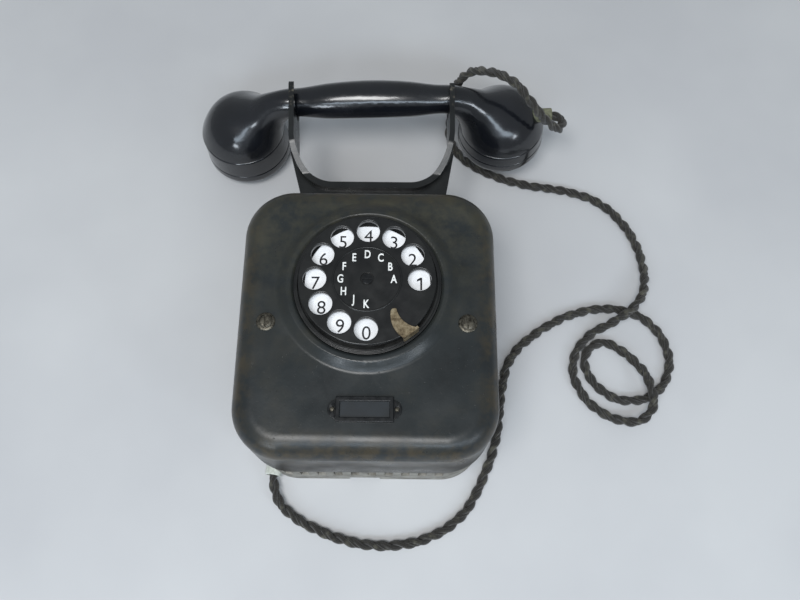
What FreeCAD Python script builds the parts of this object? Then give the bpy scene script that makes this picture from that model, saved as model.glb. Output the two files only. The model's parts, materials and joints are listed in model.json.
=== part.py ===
import FreeCAD, Part
import math
import os
import re
import Sketcher
from FreeCAD import Placement, Rotation, Vector

# Wall telephone lying on its back. +X is its right, +Y its top with the cradle, +Z comes out of its front.
# The origin is the centre of the base tray's back face. All lengths are millimetres.

SIZES = [
    # case
    ("case_wide", 146, "cover, outside width"),
    ("case_tall", 159, "cover, outside height"),
    ("case_front", 98, "front face above the wall"),
    ("case_corner", 29, "cover corner radius"),
    ("case_edge", 12.5, "rounding of the front edge"),
    ("seam_high", 45, "rear edge of the cover"),
    ("cover_wall", 1.8, "cover sheet"),
    ("tray_gap", 0.25, "clearance between tray and cover skirt"),
    ("tray_wall", 1.8, "tray sheet"),
    ("tray_lip", 5, "tray wall inside the skirt"),
    ("tray_edge", 2.5, "rounding of the tray's back edge"),
    ("sound_count", 10, "sound slots"),
    ("sound_pitch", 10.2, "sound slot spacing"),
    ("sound_wide", 5, "sound slot width"),
    ("sound_low", 18, "sound slot, lower end"),
    ("sound_tall", 22, "sound slot length"),
    ("sound_shift", -3, "sound slot row centre"),
    ("notch_wide", 19, "cable notch width"),
    ("notch_high", 8, "cable notch height"),
    ("wall_hole_x", 44, "upper wall screws, half spacing"),
    ("wall_hole_y", 56, "upper wall screws above the centre"),
    ("wall_hole_low", -60, "lower wall screw"),
    ("wall_hole_bore", 5.5, "wall screw hole"),
    ("gland_side", 13, "cord gland inside the cover's left edge"),
    ("gland_in", 6.9, "cord gland inside the cover's lower edge"),
    ("gland_high", 8, "cord gland above the wall"),
    ("gland_wide", 10, "cord gland diameter"),
    ("gland_long", 9, "cord gland length"),
    ("gland_inside", 5, "cord gland length behind its own place"),
    ("gland_turn", 262, "cord gland direction, degrees"),
    # cover screws
    ("post_x", 55.8, "cover posts, half spacing"),
    ("post_y", -5.5, "cover posts above the centre"),
    ("post_wide", 9, "cover post diameter"),
    ("screw_shank", 4, "cover screw shank"),
    ("screw_head", 7.7, "cover screw head"),
    ("screw_head_high", 1.6, "cover screw head height"),
    ("screw_reach", 12, "cover screw below the head"),
    ("screw_clear", 0.15, "screw clearance on radius"),
    ("washer_wide", 10.6, "cover washer diameter"),
    ("washer_thick", 0.8, "cover washer thickness"),
    ("slot_wide", 1.1, "driver slot width"),
    ("slot_deep", 0.8, "driver slot depth"),
    # label
    ("label_y", -54.2, "label above the centre"),
    ("label_wide", 30.8, "label frame width"),
    ("label_tall", 13.8, "label frame height"),
    ("label_thick", 1.7, "label frame thickness"),
    ("label_eye_wide", 26.3, "label window width"),
    ("label_eye_tall", 8.6, "label window height"),
    ("label_ear_x", 17.2, "label rivets, half spacing"),
    ("label_ear_round", 14.6, "centres of the label's round ears, half spacing"),
    ("label_ear_wide", 10.4, "label ear diameter"),
    ("label_ear_thick", 0.9, "label ear thickness"),
    ("card_thick", 0.4, "label card"),
    ("rivet_wide", 2.8, "label rivet head"),
    ("rivet_shank", 1.8, "label rivet shank"),
    ("rivet_high", 0.8, "label rivet head height"),
    # dial
    ("dial_y", 16.5, "dial above the centre"),
    ("collar_crest", 45.5, "collar crest radius"),
    ("collar_foot", 51, "collar foot radius"),
    ("collar_high", 4.2, "collar above the front face"),
    ("dial_bore", 41.6, "dial opening radius"),
    ("dial_fit", 0.25, "dial case inside the opening"),
    ("dial_rim_out", 5.4, "dial rim above the front face"),
    ("dial_flange", 47, "dial case flange radius"),
    ("dial_flange_thick", 2, "dial case flange"),
    ("dial_deep", 14, "rear of the dial case below the front face"),
    ("dial_skirt", 39.6, "dial case skirt radius"),
    ("dial_skirt_bore", 37, "dial case bore behind the plate"),
    ("dial_mouth", 38.9, "dial case bore at the wheel"),
    ("plate_out", 2, "number plate rear face above the front face"),
    ("plate_thick", 1.2, "number plate"),
    ("plate_half", 35, "number plate radius"),
    ("plate_fit", 0.2, "clearance round the number plate"),
    ("plate_seat", 1.6, "ledge under the number plate, width and thickness"),
    ("plate_bore", 9, "number plate centre hole radius"),
    ("wheel_wide", 76, "finger wheel diameter"),
    ("wheel_out", 7.6, "finger wheel rear face above the front face"),
    ("wheel_thick", 2.6, "finger wheel"),
    ("finger_holes", 10, "finger holes"),
    ("finger_step", 30, "degrees from one finger hole to the next"),
    ("finger_bore", 13, "finger hole diameter"),
    ("finger_circle", 29, "finger holes from the centre"),
    ("hub_wide", 37.6, "letter disc diameter"),
    ("hub_deep", 0.9, "letter disc recess"),
    ("hub_ring_wide", 1.2, "hub ring width"),
    ("hub_eye", 6, "hub screw head diameter"),
    ("hub_eye_gap", 0.8, "letter disc clear of the hub screw head"),
    ("boss_wide", 15, "finger wheel boss diameter"),
    ("shaft_wide", 5, "dial shaft diameter"),
    ("shaft_clear", 0.05, "running clearance on radius"),
    ("stop_angle", -52, "finger stop direction, degrees"),
    ("stop_gap", 0.8, "finger stop above the wheel"),
    ("stop_thick", 1.4, "finger stop sheet"),
    ("stop_reach", 23, "finger stop tip from the centre"),
    ("gear_plate_thick", 2, "gear plate"),
    ("dial_module", 0.8, "dial gear module"),
    ("dial_teeth", 45, "dial gear teeth"),
    ("pinion_teeth", 12, "impulse pinion teeth"),
    ("fast_module", 0.6, "governor gear module"),
    ("fast_teeth", 30, "impulse gear teeth"),
    ("governor_teeth", 10, "governor pinion teeth"),
    ("gear_slack", 0.15, "centre distance added for backlash"),
    ("governor_out", 27.6, "governor shaft from the dial centre"),
    ("impulse_angle", 150, "impulse shaft direction, degrees"),
    ("train_shaft", 3, "impulse and governor shaft diameter"),
    ("spring_turns", 5, "mainspring turns"),
    ("spring_inner", 3.4, "mainspring inner radius"),
    ("spring_outer", 11, "mainspring outer radius"),
    ("spring_strip", 0.45, "mainspring strip"),
    ("spring_tall", 1.4, "mainspring width"),
    # cradle
    ("cradle_mid", 63.5, "middle plane of the cradle above the wall"),
    ("cradle_plate", 4, "cradle web"),
    ("web_clear", 2, "web above the case when the hook is pressed"),
    ("cradle_shift", -0.8, "forks to the telephone's right of the middle"),
    ("fork_half", 49.6, "inner faces of the forks, half spacing"),
    ("fork_thick", 3.3, "fork plate"),
    ("left_splay", 2, "left fork tip bent outward"),
    ("right_splay", 0.4, "right fork tip bent outward"),
    ("rim_thick", 4.3, "rim under the cradle opening"),
    ("round_wide", 25, "inner corner of the opening, width"),
    ("round_tall", 33, "inner corner of the opening, height"),
    ("opening_up", 11.5, "bottom of the opening above the web's lower edge"),
    ("shoulder_up", 35, "full fork depth above the web's lower edge"),
    ("fork_tall", 80, "fork tips above the web's lower edge"),
    ("fork_deep", 33, "fork plate, front to back"),
    ("fork_rim_deep", 11, "rim depth at the bottom of the opening"),
    ("valley_up", 63.6, "bottom of the handle notch above the web's lower edge"),
    ("valley_wide", 27, "handle notch width"),
    ("left_valley_drop", 1.8, "left notch deeper, where the neck starts to widen"),
    ("web_left", 43.6, "left half width of the web's lower edge"),
    ("web_right", 46.7, "right half width of the web's lower edge"),
    ("cradle_screw_x", 18, "cradle screws, half spacing"),
    ("cradle_screw_up", 3.8, "cradle screws above the web's lower edge"),
    ("cradle_screw_shank", 3, "cradle screw shank"),
    ("cradle_screw_head", 5.2, "cradle screw head"),
    ("cradle_head_high", 1.6, "cradle screw head height"),
    ("stem_wide", 56, "cradle stem width"),
    ("stem_low", 52, "inner end of the stem"),
    ("stem_gap", 1.1, "stem shoulder below the web"),
    ("stem_clear", 0.5, "stem clearance in the case slot"),
    ("flap_tall", 7, "flap behind the web"),
    ("flap_thick", 2, "flap sheet"),
    ("hook_travel", 5.5, "switch hook travel"),
    ("guide_y", 64, "hook guide above the centre"),
    ("spring_seat_y", 40, "hook spring seat above the centre"),
    # handset
    ("hand_x", -3.7, "handset middle"),
    ("hand_seat", 11.2, "handle axis above the notch's bottom"),
    ("hand_lift", 0.5, "handle axis in front of the cradle's middle plane"),
    ("hand_half", 90.7, "head axis from the middle"),
    ("grip_thick", 25.4, "handle at its middle"),
    ("grip_thin", 19.3, "handle at the forks"),
    ("head_wide", 59, "head diameter at its widest"),
    ("dome_low", -34, "widest place of the head below the handle axis"),
    ("collar_low", -29.3, "lower end of the head collar"),
    ("cap_wide", 60, "cap diameter"),
    ("cap_thread", 5, "cap thread inside the head"),
    ("cap_face", 5, "cap face"),
    ("capsule_thick", 11, "capsule"),
    ("grip_run", 50, "from the handle's middle to its thinnest"),
    ("neck_run", 48, "where the handle starts to bend into the head"),
    ("neck_high", 9.8, "handle half height at the bend"),
    ("grip_bow", 1.8, "handle's middle above its ends"),
    ("head_step", 0.9, "ledge where the smooth top ends"),
    ("hand_tilt", 2, "right end raised, degrees"),
    ("hand_swing", 0.8, "right end toward the top, degrees"),
    ("hand_roll", 0, "heads leaning toward the top, degrees"),
    ("bush_wide", 9.4, "cord bush diameter"),
    ("bush_out", 3.4, "cord bush beyond the head's widest place"),
    ("bush_long", 15, "cord bush length"),
    ("bush_side", -1.4, "cord bush above the handle axis in plan"),
    ("bush_low", -18.4, "cord bush below the handle axis"),
    ("cord_bore", 7.1, "hole for the cord"),
    ("ear_cap_low", -54, "ear cap face below the handle axis"),
    ("mouth_cap_low", -46.2, "mouth cap face below the handle axis"),
    ("cap_groove", 8.6, "groove above the cap's face"),
    ("head_wall", 4.4, "head wall"),
    ("cord_wide", 6.5, "twisted cord diameter"),
    # ringer
    ("gong_wide", 50, "gong diameter"),
    ("gong_tall", 17, "gong height"),
    ("gong_wall", 1.5, "gong wall"),
    ("gong_x", 33, "gongs, half spacing"),
    ("gong_y", -42, "gongs above the centre"),
    ("gong_low", 30, "gong rim above the wall"),
    ("gong_post_wide", 8, "gong post diameter"),
    ("coil_wide", 17, "ringer coil diameter"),
    ("coil_long", 26, "ringer coil length"),
    ("coil_x", 13, "ringer coils, half spacing"),
    ("coil_high", 20, "ringer coil axis above the wall"),
    ("coil_y", -2, "lower face of the ringer coils"),
    ("clapper_y", -12, "clapper pivot"),
    ("clapper_pin", 3, "clapper pin diameter"),
    # circuit
    ("capacitor_x", -58.5, "capacitor"),
    ("capacitor_y", 31, "capacitor above the centre"),
    ("coil_set_x", 56, "speech coil"),
    ("coil_set_y", 32, "speech coil above the centre"),
    ("terminal_x", -36, "terminal block"),
    ("terminal_y", 16, "terminal block above the centre"),
    ("terminal_pitch", 7, "terminal screw spacing"),
    ("terminal_count", 5, "terminal screws"),
]

doc = FreeCAD.newDocument("wall_telephone")
sheet = doc.addObject("Spreadsheet::Sheet", "Sizes")
for row, (alias, value, note) in enumerate(SIZES, 1):
    sheet.set("A%d" % row, note)
    sheet.set("B%d" % row, str(value))
    sheet.setAlias("B%d" % row, alias)
doc.recompute()

ALIASES = {alias for alias, value, note in SIZES}
PARTS = {}


def size(alias):
    return float(sheet.get(alias))


def formula(text):
    """An expression with each size's name pointed at the sheet."""
    swap = lambda found: "Sizes." + found.group(0) if found.group(0) in ALIASES else found.group(0)
    return re.sub(r"[a-z_]+", swap, str(text))


def bind(thing, **rules):
    for prop, rule in rules.items():
        thing.setExpression(prop.replace("__", "."), formula(rule))
    return thing


def place(thing, x=0, y=0, z=0):
    return bind(thing, Placement__Base__x=x, Placement__Base__y=y, Placement__Base__z=z)


def keep(name, thing):
    """Gives the piece its own name, which is also its file's name."""
    thing.Label = name
    PARTS[name] = thing
    return thing


def box(wide, deep, high, x=0, y=0, z=0):
    """A block centred on x and y, standing on z."""
    block = bind(doc.addObject("Part::Box", "Block"), Length=wide, Width=deep, Height=high)
    return place(block, "%s - (%s) / 2" % (x, wide), "%s - (%s) / 2" % (y, deep), z)


def rod(wide, high, x=0, y=0, z=0):
    """A round bar along Z, given by its diameter."""
    return place(bind(doc.addObject("Part::Cylinder", "Rod"), Radius="(%s) / 2" % wide, Height=high), x, y, z)


def lying_rod(wide, long, x=0, y=0, z=0, axis="y"):
    """A round bar along Y or X."""
    bar = rod(wide, long, x, y, z)
    bar.Placement.Rotation = Rotation(Vector(1, 0, 0), -90) if axis == "y" else Rotation(Vector(0, 1, 0), 90)
    return bar


def cut(base, *tools):
    for tool in tools:
        result = doc.addObject("Part::Cut", "Cut")
        result.Base = base
        result.Tool = tool
        base = result
    return base


def join(*pieces):
    result = doc.addObject("Part::MultiFuse", "Join")
    result.Shapes = list(pieces)
    return result


def common(base, tool):
    result = doc.addObject("Part::Common", "Shared")
    result.Base = base
    result.Tool = tool
    return result


def group(*pieces):
    result = doc.addObject("Part::Compound", "Group")
    result.Links = list(pieces)
    return result


def origin_plane(body, role):
    return next(plane for plane in body.Origin.OriginFeatures if plane.Role == role)


def new_sketch(body, role, lift=0):
    sketch = body.newObject("Sketcher::SketchObject", "Outline")
    sketch.AttachmentSupport = [(origin_plane(body, role), "")]
    sketch.MapMode = "FlatFace"
    if lift:
        bind(sketch, AttachmentOffset__Base__z=lift)
    return sketch


def pin(sketch, geometry, end, x, y):
    """Ties one end of a line to a place given by two expressions."""
    for kind, rule in (("DistanceX", x), ("DistanceY", y)):
        point = sketch.getPoint(geometry, end)
        now = point.x if kind == "DistanceX" else point.y
        index = sketch.addConstraint(Sketcher.Constraint(kind, -1, 1, geometry, end, now))
        sketch.setExpression("Constraints[%d]" % index, formula(rule))


def number(rule):
    """The present value of an expression, worked out by the document."""
    probe = doc.getObject("Probe") or doc.addObject("App::FeaturePython", "Probe")
    if not hasattr(probe, "Value"):
        probe.addProperty("App::PropertyFloat", "Value")
    probe.setExpression("Value", formula(rule))
    probe.recompute()
    value = probe.Value
    probe.setExpression("Value", None)
    return value


def outline(sketch, corners):
    """A closed outline of straight lines through corners given as expressions."""
    places = [Vector(number(x), number(y), 0) for x, y in corners]
    count = len(places)
    first = sketch.GeometryCount
    for index in range(count):
        sketch.addGeometry(Part.LineSegment(places[index], places[(index + 1) % count]), False)
    for index in range(count):
        follows = first + (index + 1) % count
        sketch.addConstraint(Sketcher.Constraint("Coincident", first + index, 2, follows, 1))
    for index, (x, y) in enumerate(corners):
        pin(sketch, first + index, 1, x, y)


def turned(corners, x=0, y=0, z=0):
    """A turned piece: radius and height pairs spun about Z."""
    body = doc.addObject("PartDesign::Body", "Turned")
    sketch = new_sketch(body, "XZ_Plane")
    outline(sketch, corners)
    spin = body.newObject("PartDesign::Revolution", "Spin")
    spin.Profile = sketch
    spin.ReferenceAxis = (sketch, ["V_Axis"])
    spin.Angle = 360
    return place(body, x, y, z)


def plate(corners, thick, low=0, x=0, y=0):
    """A flat piece: an outline in plan, standing on low."""
    body = doc.addObject("PartDesign::Body", "Plate")
    sketch = new_sketch(body, "XY_Plane")
    outline(sketch, corners)
    pad = body.newObject("PartDesign::Pad", "Pad")
    pad.Profile = sketch
    bind(pad, Length=thick)
    return place(body, x, y, low)


def rounded_slab(wide, tall, corner, high, low, x=0, y=0):
    """A rectangular slab with rounded upright corners."""
    slab = box(wide, tall, high, x, y, low)
    doc.recompute()
    upright = [index for index, edge in enumerate(slab.Shape.Edges, 1)
               if abs(edge.tangentAt(edge.FirstParameter).z) > 0.99]
    fillet = doc.addObject("Part::Fillet", "Rounded")
    fillet.Base = slab
    radius = number(corner)
    fillet.Edges = [(index, radius, radius) for index in upright]
    return fillet


def rounded_rim(base, radius, height):
    """Rounds the edges that lie at one height."""
    doc.recompute()
    level = number(height)
    edges = [index for index, edge in enumerate(base.Shape.Edges, 1)
             if abs(edge.BoundBox.ZMin - level) < 0.01 and abs(edge.BoundBox.ZMax - level) < 0.01]
    fillet = doc.addObject("Part::Fillet", "Edge")
    fillet.Base = base
    value = number(radius)
    fillet.Edges = [(index, value, value) for index in edges]
    return fillet


def polar(radius, degrees):
    turn = math.radians(degrees)
    return Vector(radius * math.cos(turn), radius * math.sin(turn), 0)


def solid(name, shape):
    """A piece whose shape is worked out here from the sizes."""
    thing = doc.addObject("Part::Feature", "Shaped")
    thing.Shape = shape
    return keep(name, thing)


# Case

TRAY_WIDE = "(case_wide - 2 * cover_wall - 2 * tray_gap)"
TRAY_TALL = "(case_tall - 2 * cover_wall - 2 * tray_gap)"
TRAY_CORNER = "(case_corner - cover_wall - tray_gap)"
FACE_BACK = "(case_front - cover_wall)"
GLAND_PLAY = 0.2


def gland_rod(wide, long, behind):
    """A round bar along the gland's axis, which starts behind the gland's own place in the tray wall."""
    turn = size("gland_turn")
    across = size("gland_side") - size("case_wide") / 2
    along = size("gland_in") - size("case_tall") / 2
    start = Vector(across, along, size("gland_high")) - polar(behind, turn)
    bar = bind(doc.addObject("Part::Cylinder", "Rod"), Radius="(%s) / 2" % wide, Height=long)
    bar.Placement = Placement(start, Rotation(Vector(0, 0, 1), turn) * Rotation(Vector(0, 1, 0), 90))
    return bar


def base_tray():
    slab = rounded_slab(TRAY_WIDE, TRAY_TALL, TRAY_CORNER, "seam_high + tray_lip", 0)
    shell = rounded_rim(slab, "tray_edge", 0)
    inside = rounded_slab(TRAY_WIDE + " - 2 * tray_wall", TRAY_TALL + " - 2 * tray_wall",
                          TRAY_CORNER + " - tray_wall", "seam_high + tray_lip", "tray_wall")
    wall_y = "-" + TRAY_TALL + " / 2"
    openings = []
    count = int(size("sound_count"))
    for index in range(count):
        across = "sound_shift + sound_pitch * (%s)" % (index - (count - 1) / 2)
        openings.append(box("sound_wide", "4 * tray_wall", "sound_tall", across, wall_y, "sound_low"))
    openings.append(box("notch_wide", "6 * tray_wall", "2 * notch_high", "sound_shift", wall_y, "-notch_high"))
    for side in (-1, 1):
        across = "%d * wall_hole_x" % side
        openings.append(rod("wall_hole_bore", "3 * tray_wall", across, "wall_hole_y", "-tray_wall"))
    openings.append(rod("wall_hole_bore", "3 * tray_wall", 0, "wall_hole_low", "-tray_wall"))
    openings.append(gland_rod("gland_wide + %s" % GLAND_PLAY, "2 * gland_long", size("gland_long")))
    keep("base_tray", cut(shell, inside, *openings))


def front_cover():
    slab = rounded_slab("case_wide", "case_tall", "case_corner", "case_front - seam_high", "seam_high")
    shell = rounded_rim(slab, "case_edge", "case_front")
    wide, tall = "case_wide - 2 * cover_wall", "case_tall - 2 * cover_wall"
    hollow = rounded_slab(wide, tall, "case_corner - cover_wall", FACE_BACK + " - seam_high + cover_wall",
                          "seam_high - cover_wall")
    inside = rounded_rim(hollow, "case_edge - cover_wall", FACE_BACK)
    crest = "case_front + collar_high"
    collar = turned([
        ("dial_bore", FACE_BACK), ("dial_bore", crest + " - 1"), ("dial_bore + 1.2", crest), ("collar_crest", crest),
        ("collar_foot - 1", "case_front + 0.8"), ("collar_foot + 1", "case_front"), ("collar_foot + 1", FACE_BACK),
    ], 0, "dial_y")
    crest_round = rounded_rim(collar, 2, crest)
    openings = [rod("2 * dial_bore", "6 * cover_wall", 0, "dial_y", FACE_BACK + " - cover_wall")]
    for side in (-1, 1):
        openings.append(rod("screw_shank + 2 * screw_clear", "4 * cover_wall", "%d * post_x" % side, "post_y",
                            "case_front - 2 * cover_wall"))
        openings.append(rod("rivet_shank + 0.1", "4 * cover_wall", "%d * label_ear_x" % side, "label_y",
                            "case_front - 2 * cover_wall"))
    slot_high = "cradle_plate + flap_thick + 3 * stem_clear"
    slot_low = "cradle_mid - cradle_plate / 2 - flap_thick - 2 * stem_clear"
    openings.append(box("stem_wide + 2 * stem_clear", "6 * cover_wall", slot_high, "cradle_shift", "case_tall / 2",
                        slot_low))
    keep("front_cover", cut(join(cut(shell, inside), crest_round), *openings))


def cover_fastening():
    posts, screws, washers = [], [], []
    for side in (-1, 1):
        across = "%d * post_x" % side
        post = rod("post_wide", FACE_BACK + " - tray_wall", across, "post_y", "tray_wall")
        bore_low = FACE_BACK + " - screw_reach"
        bore = rod("screw_shank + 2 * screw_clear", "screw_reach", across, "post_y", bore_low)
        posts.append(cut(post, bore))
        seat = "case_front + washer_thick"
        head = turned([(0, 0), ("screw_head / 2", 0), ("screw_head / 2", "screw_head_high * 0.45"),
                       ("screw_head * 0.36", "screw_head_high * 0.85"), (0, "screw_head_high")],
                      across, "post_y", seat)
        shank = rod("screw_shank", "screw_reach", across, "post_y", seat + " - screw_reach")
        slot = box("slot_wide", "2 * screw_head", "2 * slot_deep", across, "post_y",
                   seat + " + screw_head_high - slot_deep")
        screws.append(cut(join(head, shank), slot))
        washers.append(turned([
            ("screw_shank / 2 + screw_clear", 0), ("washer_wide / 2", 0), ("washer_wide / 2", "washer_thick * 0.4"),
            ("screw_head / 2 + 0.4", "washer_thick"), ("screw_shank / 2 + screw_clear", "washer_thick"),
        ], across, "post_y", "case_front"))
    keep("cover_posts", group(*posts))
    keep("cover_screws", group(*screws))
    keep("cover_washers", group(*washers))


def label():
    face = "case_front"
    frame = box("label_wide", "label_tall", "label_thick", 0, "label_y", face)
    ears = []
    for side in (-1, 1):
        across = "%d * label_ear_round" % side
        ears.append(rod("label_ear_wide", "label_ear_thick", across, "label_y", face))
    eye = box("label_eye_wide", "label_eye_tall", "4 * label_thick", 0, "label_y", "case_front - label_thick")
    pocket = box("label_eye_wide + 2", "label_eye_tall + 2", "card_thick", 0, "label_y", face)
    rivet_bores = [rod("rivet_shank + 0.1", "4 * label_thick", "%d * label_ear_x" % side, "label_y",
                       "case_front - label_thick") for side in (-1, 1)]
    frame = rounded_rim(cut(frame, eye), "label_ear_thick * 0.5", "case_front + label_thick")
    keep("label_frame", cut(join(frame, *ears), eye, pocket, *rivet_bores))
    keep("label_card", box("label_eye_wide + 1.8", "label_eye_tall + 1.8", "card_thick", 0, "label_y", face))
    rivets = []
    for side in (-1, 1):
        across = "%d * label_ear_x" % side
        dome = [(0, 0), ("rivet_wide / 2", 0), ("rivet_wide * 0.36", "rivet_high * 0.75"), (0, "rivet_high")]
        head = turned(dome, across, "label_y", "case_front + label_ear_thick")
        long = "label_ear_thick + cover_wall + 0.6"
        shank = rod("rivet_shank", long, across, "label_y", FACE_BACK + " - 0.6")
        rivets.append(join(head, shank))
    keep("label_rivets", group(*rivets))


def cord_gland():
    sleeve = gland_rod("gland_wide", "gland_long", size("gland_inside"))
    bore = gland_rod("cord_bore", "3 * gland_long", size("gland_long"))
    keep("cord_gland", cut(sleeve, bore))


base_tray()
front_cover()
cover_fastening()
label()
cord_gland()

# Dial

DIAL_TOP = "(case_front + dial_rim_out)"
DIAL_BACK = "(case_front - dial_deep)"
PLATE_LOW = "(case_front + plate_out)"
PLATE_TOP = "(case_front + plate_out + plate_thick)"
WHEEL_LOW = "(case_front + wheel_out)"
WHEEL_TOP = "(case_front + wheel_out + wheel_thick)"
GEAR_FLOOR = "(case_front - dial_deep + gear_plate_thick)"
GEAR_BORE_PLAY = 0.02


def involute_like_gear(module, teeth, bore, thick, phase):
    """A spur gear: straight flanked teeth, thinned a little for backlash."""
    pitch = module * teeth / 2
    tip = pitch + 0.85 * module
    root = pitch - 1.2 * module
    step = 2 * math.pi / teeth
    points = []
    for index in range(teeth):
        middle = phase + index * step
        for radius, share in ((root, -0.36), (tip, -0.13), (tip, 0.13), (root, 0.36)):
            angle = middle + share * step
            points.append(Vector(radius * math.cos(angle), radius * math.sin(angle), 0))
    rim = Part.Face(Part.makePolygon(points + points[:1]))
    return rim.extrude(Vector(0, 0, thick)).cut(Part.makeCylinder(bore / 2 + GEAR_BORE_PLAY, thick))


DIAL_CENTRE = Vector(0, size("dial_y"), 0)
TRAIN_REACH = size("dial_module") * (size("dial_teeth") + size("pinion_teeth")) / 2 + size("gear_slack")
FAST_REACH = size("fast_module") * (size("fast_teeth") + size("governor_teeth")) / 2 + size("gear_slack")
IMPULSE_AT = polar(TRAIN_REACH, size("impulse_angle"))
GOVERNOR_SWING = math.degrees(math.acos((TRAIN_REACH ** 2 + size("governor_out") ** 2 - FAST_REACH ** 2)
                                        / (2 * TRAIN_REACH * size("governor_out"))))
GOVERNOR_ANGLE = size("impulse_angle") - GOVERNOR_SWING
GOVERNOR_AT = polar(size("governor_out"), GOVERNOR_ANGLE)
BUSH_TALL = 2.0
BUSH_WALL = 1.2
RIM_LIP = 1.1
RIM_STEP = 1.4


def dial_case():
    """A ring with a flange behind the cover's front and a seat for the number plate inside it."""
    outer = "(dial_bore - dial_fit)"
    lip = "(%s - %s)" % (outer, RIM_LIP)
    step = "(%s - %s)" % (DIAL_TOP, RIM_STEP)
    low = FACE_BACK + " - dial_flange_thick"
    pocket = "(plate_half + plate_fit)"
    seat = "(plate_half - plate_seat)"
    seat_low = PLATE_LOW + " - plate_seat"
    keep("dial_case", turned([
        ("dial_skirt_bore", DIAL_BACK), ("dial_skirt", DIAL_BACK), ("dial_skirt", low), ("dial_flange", low),
        ("dial_flange", FACE_BACK), (outer, FACE_BACK), (outer, step), (lip, step), (lip, DIAL_TOP),
        ("dial_mouth", DIAL_TOP), ("dial_mouth", PLATE_TOP), (pocket, PLATE_TOP), (pocket, PLATE_LOW),
        (seat, PLATE_LOW), (seat, seat_low), ("dial_skirt_bore", seat_low),
    ], 0, "dial_y"))
    keep("number_plate", turned([
        ("plate_bore", 0), ("plate_half", 0), ("plate_half", "plate_thick"), ("plate_bore", "plate_thick"),
    ], 0, "dial_y", PLATE_LOW))


def gear_plate():
    play = "2 * shaft_clear"
    disc = rod("2 * dial_skirt_bore - 0.3", "gear_plate_thick", 0, "dial_y", DIAL_BACK)
    pieces, bores = [disc], []
    shafts = ((Vector(0, 0, 0), "shaft_wide"), (IMPULSE_AT, "train_shaft"), (GOVERNOR_AT, "train_shaft"))
    for at, wide in shafts:
        north = "dial_y + %.4f" % at.y
        bush_low = DIAL_BACK + " - %s" % BUSH_TALL
        pieces.append(rod(wide + " + %s" % (2 * BUSH_WALL), str(BUSH_TALL), at.x, north, bush_low))
        bores.append(rod(wide + " + " + play, "20", at.x, north, DIAL_BACK + " - 10"))
    screws = []
    for turn in (20, 200, 290):
        at = polar(size("dial_skirt_bore") - 4, turn)
        north = "dial_y + %.4f" % at.y
        bores.append(rod("2.2", "8", at.x, north, DIAL_BACK + " - 3"))
        head = rod("4", "1.2", at.x, north, GEAR_FLOOR)
        screws.append(join(head, rod("2", "4", at.x, north, GEAR_FLOOR + " - 4")))
    keep("gear_plate", cut(join(*pieces), *bores))
    keep("gear_plate_screws", group(*screws))


def finger_wheel():
    half = "shaft_wide / 2 + 0.02"
    recess = WHEEL_TOP + " - hub_deep"
    low = PLATE_TOP + " + 0.9"
    disc = turned([
        (half, low), ("boss_wide / 2", low), ("boss_wide / 2", WHEEL_LOW), ("wheel_wide / 2", WHEEL_LOW),
        ("wheel_wide / 2", WHEEL_TOP), ("hub_wide / 2", WHEEL_TOP), ("hub_wide / 2", recess), (half, recess),
    ], 0, "dial_y")
    holes = []
    for index in range(int(size("finger_holes"))):
        at = polar(size("finger_circle"), index * size("finger_step"))
        north = "dial_y + %.4f" % at.y
        holes.append(rod("finger_bore", "4 * wheel_thick", at.x, north, WHEEL_LOW + " - wheel_thick"))
    wheel = rounded_rim(cut(disc, *holes), 0.6, WHEEL_TOP)
    keep("finger_wheel", wheel)
    eye = "(hub_eye / 2 + hub_eye_gap)"
    keep("letter_disc", turned([(eye, 0), ("hub_wide / 2 - 0.15", 0), ("hub_wide / 2 - 0.15", "hub_deep"),
                                (eye, "hub_deep")], 0, "dial_y", recess))
    keep("hub_ring", turned([("hub_wide / 2 - 0.5", 0), ("hub_wide / 2 + hub_ring_wide - 0.5", 0),
                             ("hub_wide / 2 + hub_ring_wide - 0.9", 0.45), ("hub_wide / 2 - 0.2", 0.45)],
                            0, "dial_y", WHEEL_TOP))
    head = rod("hub_eye", "0.8", 0, "dial_y", recess)
    shank = rod("2.6", "6", 0, "dial_y", recess + " - 6")
    slot = box("hub_eye + 1", "0.9", "1", 0, "dial_y", recess + " + 0.35")
    keep("hub_screw", cut(join(head, shank), slot))
    shaft = rod("shaft_wide", recess + " - " + DIAL_BACK + " + 4", 0, "dial_y", DIAL_BACK + " - 4")
    keep("dial_shaft", cut(shaft, rod("2.8", "8", 0, "dial_y", recess + " - 7")))


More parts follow.
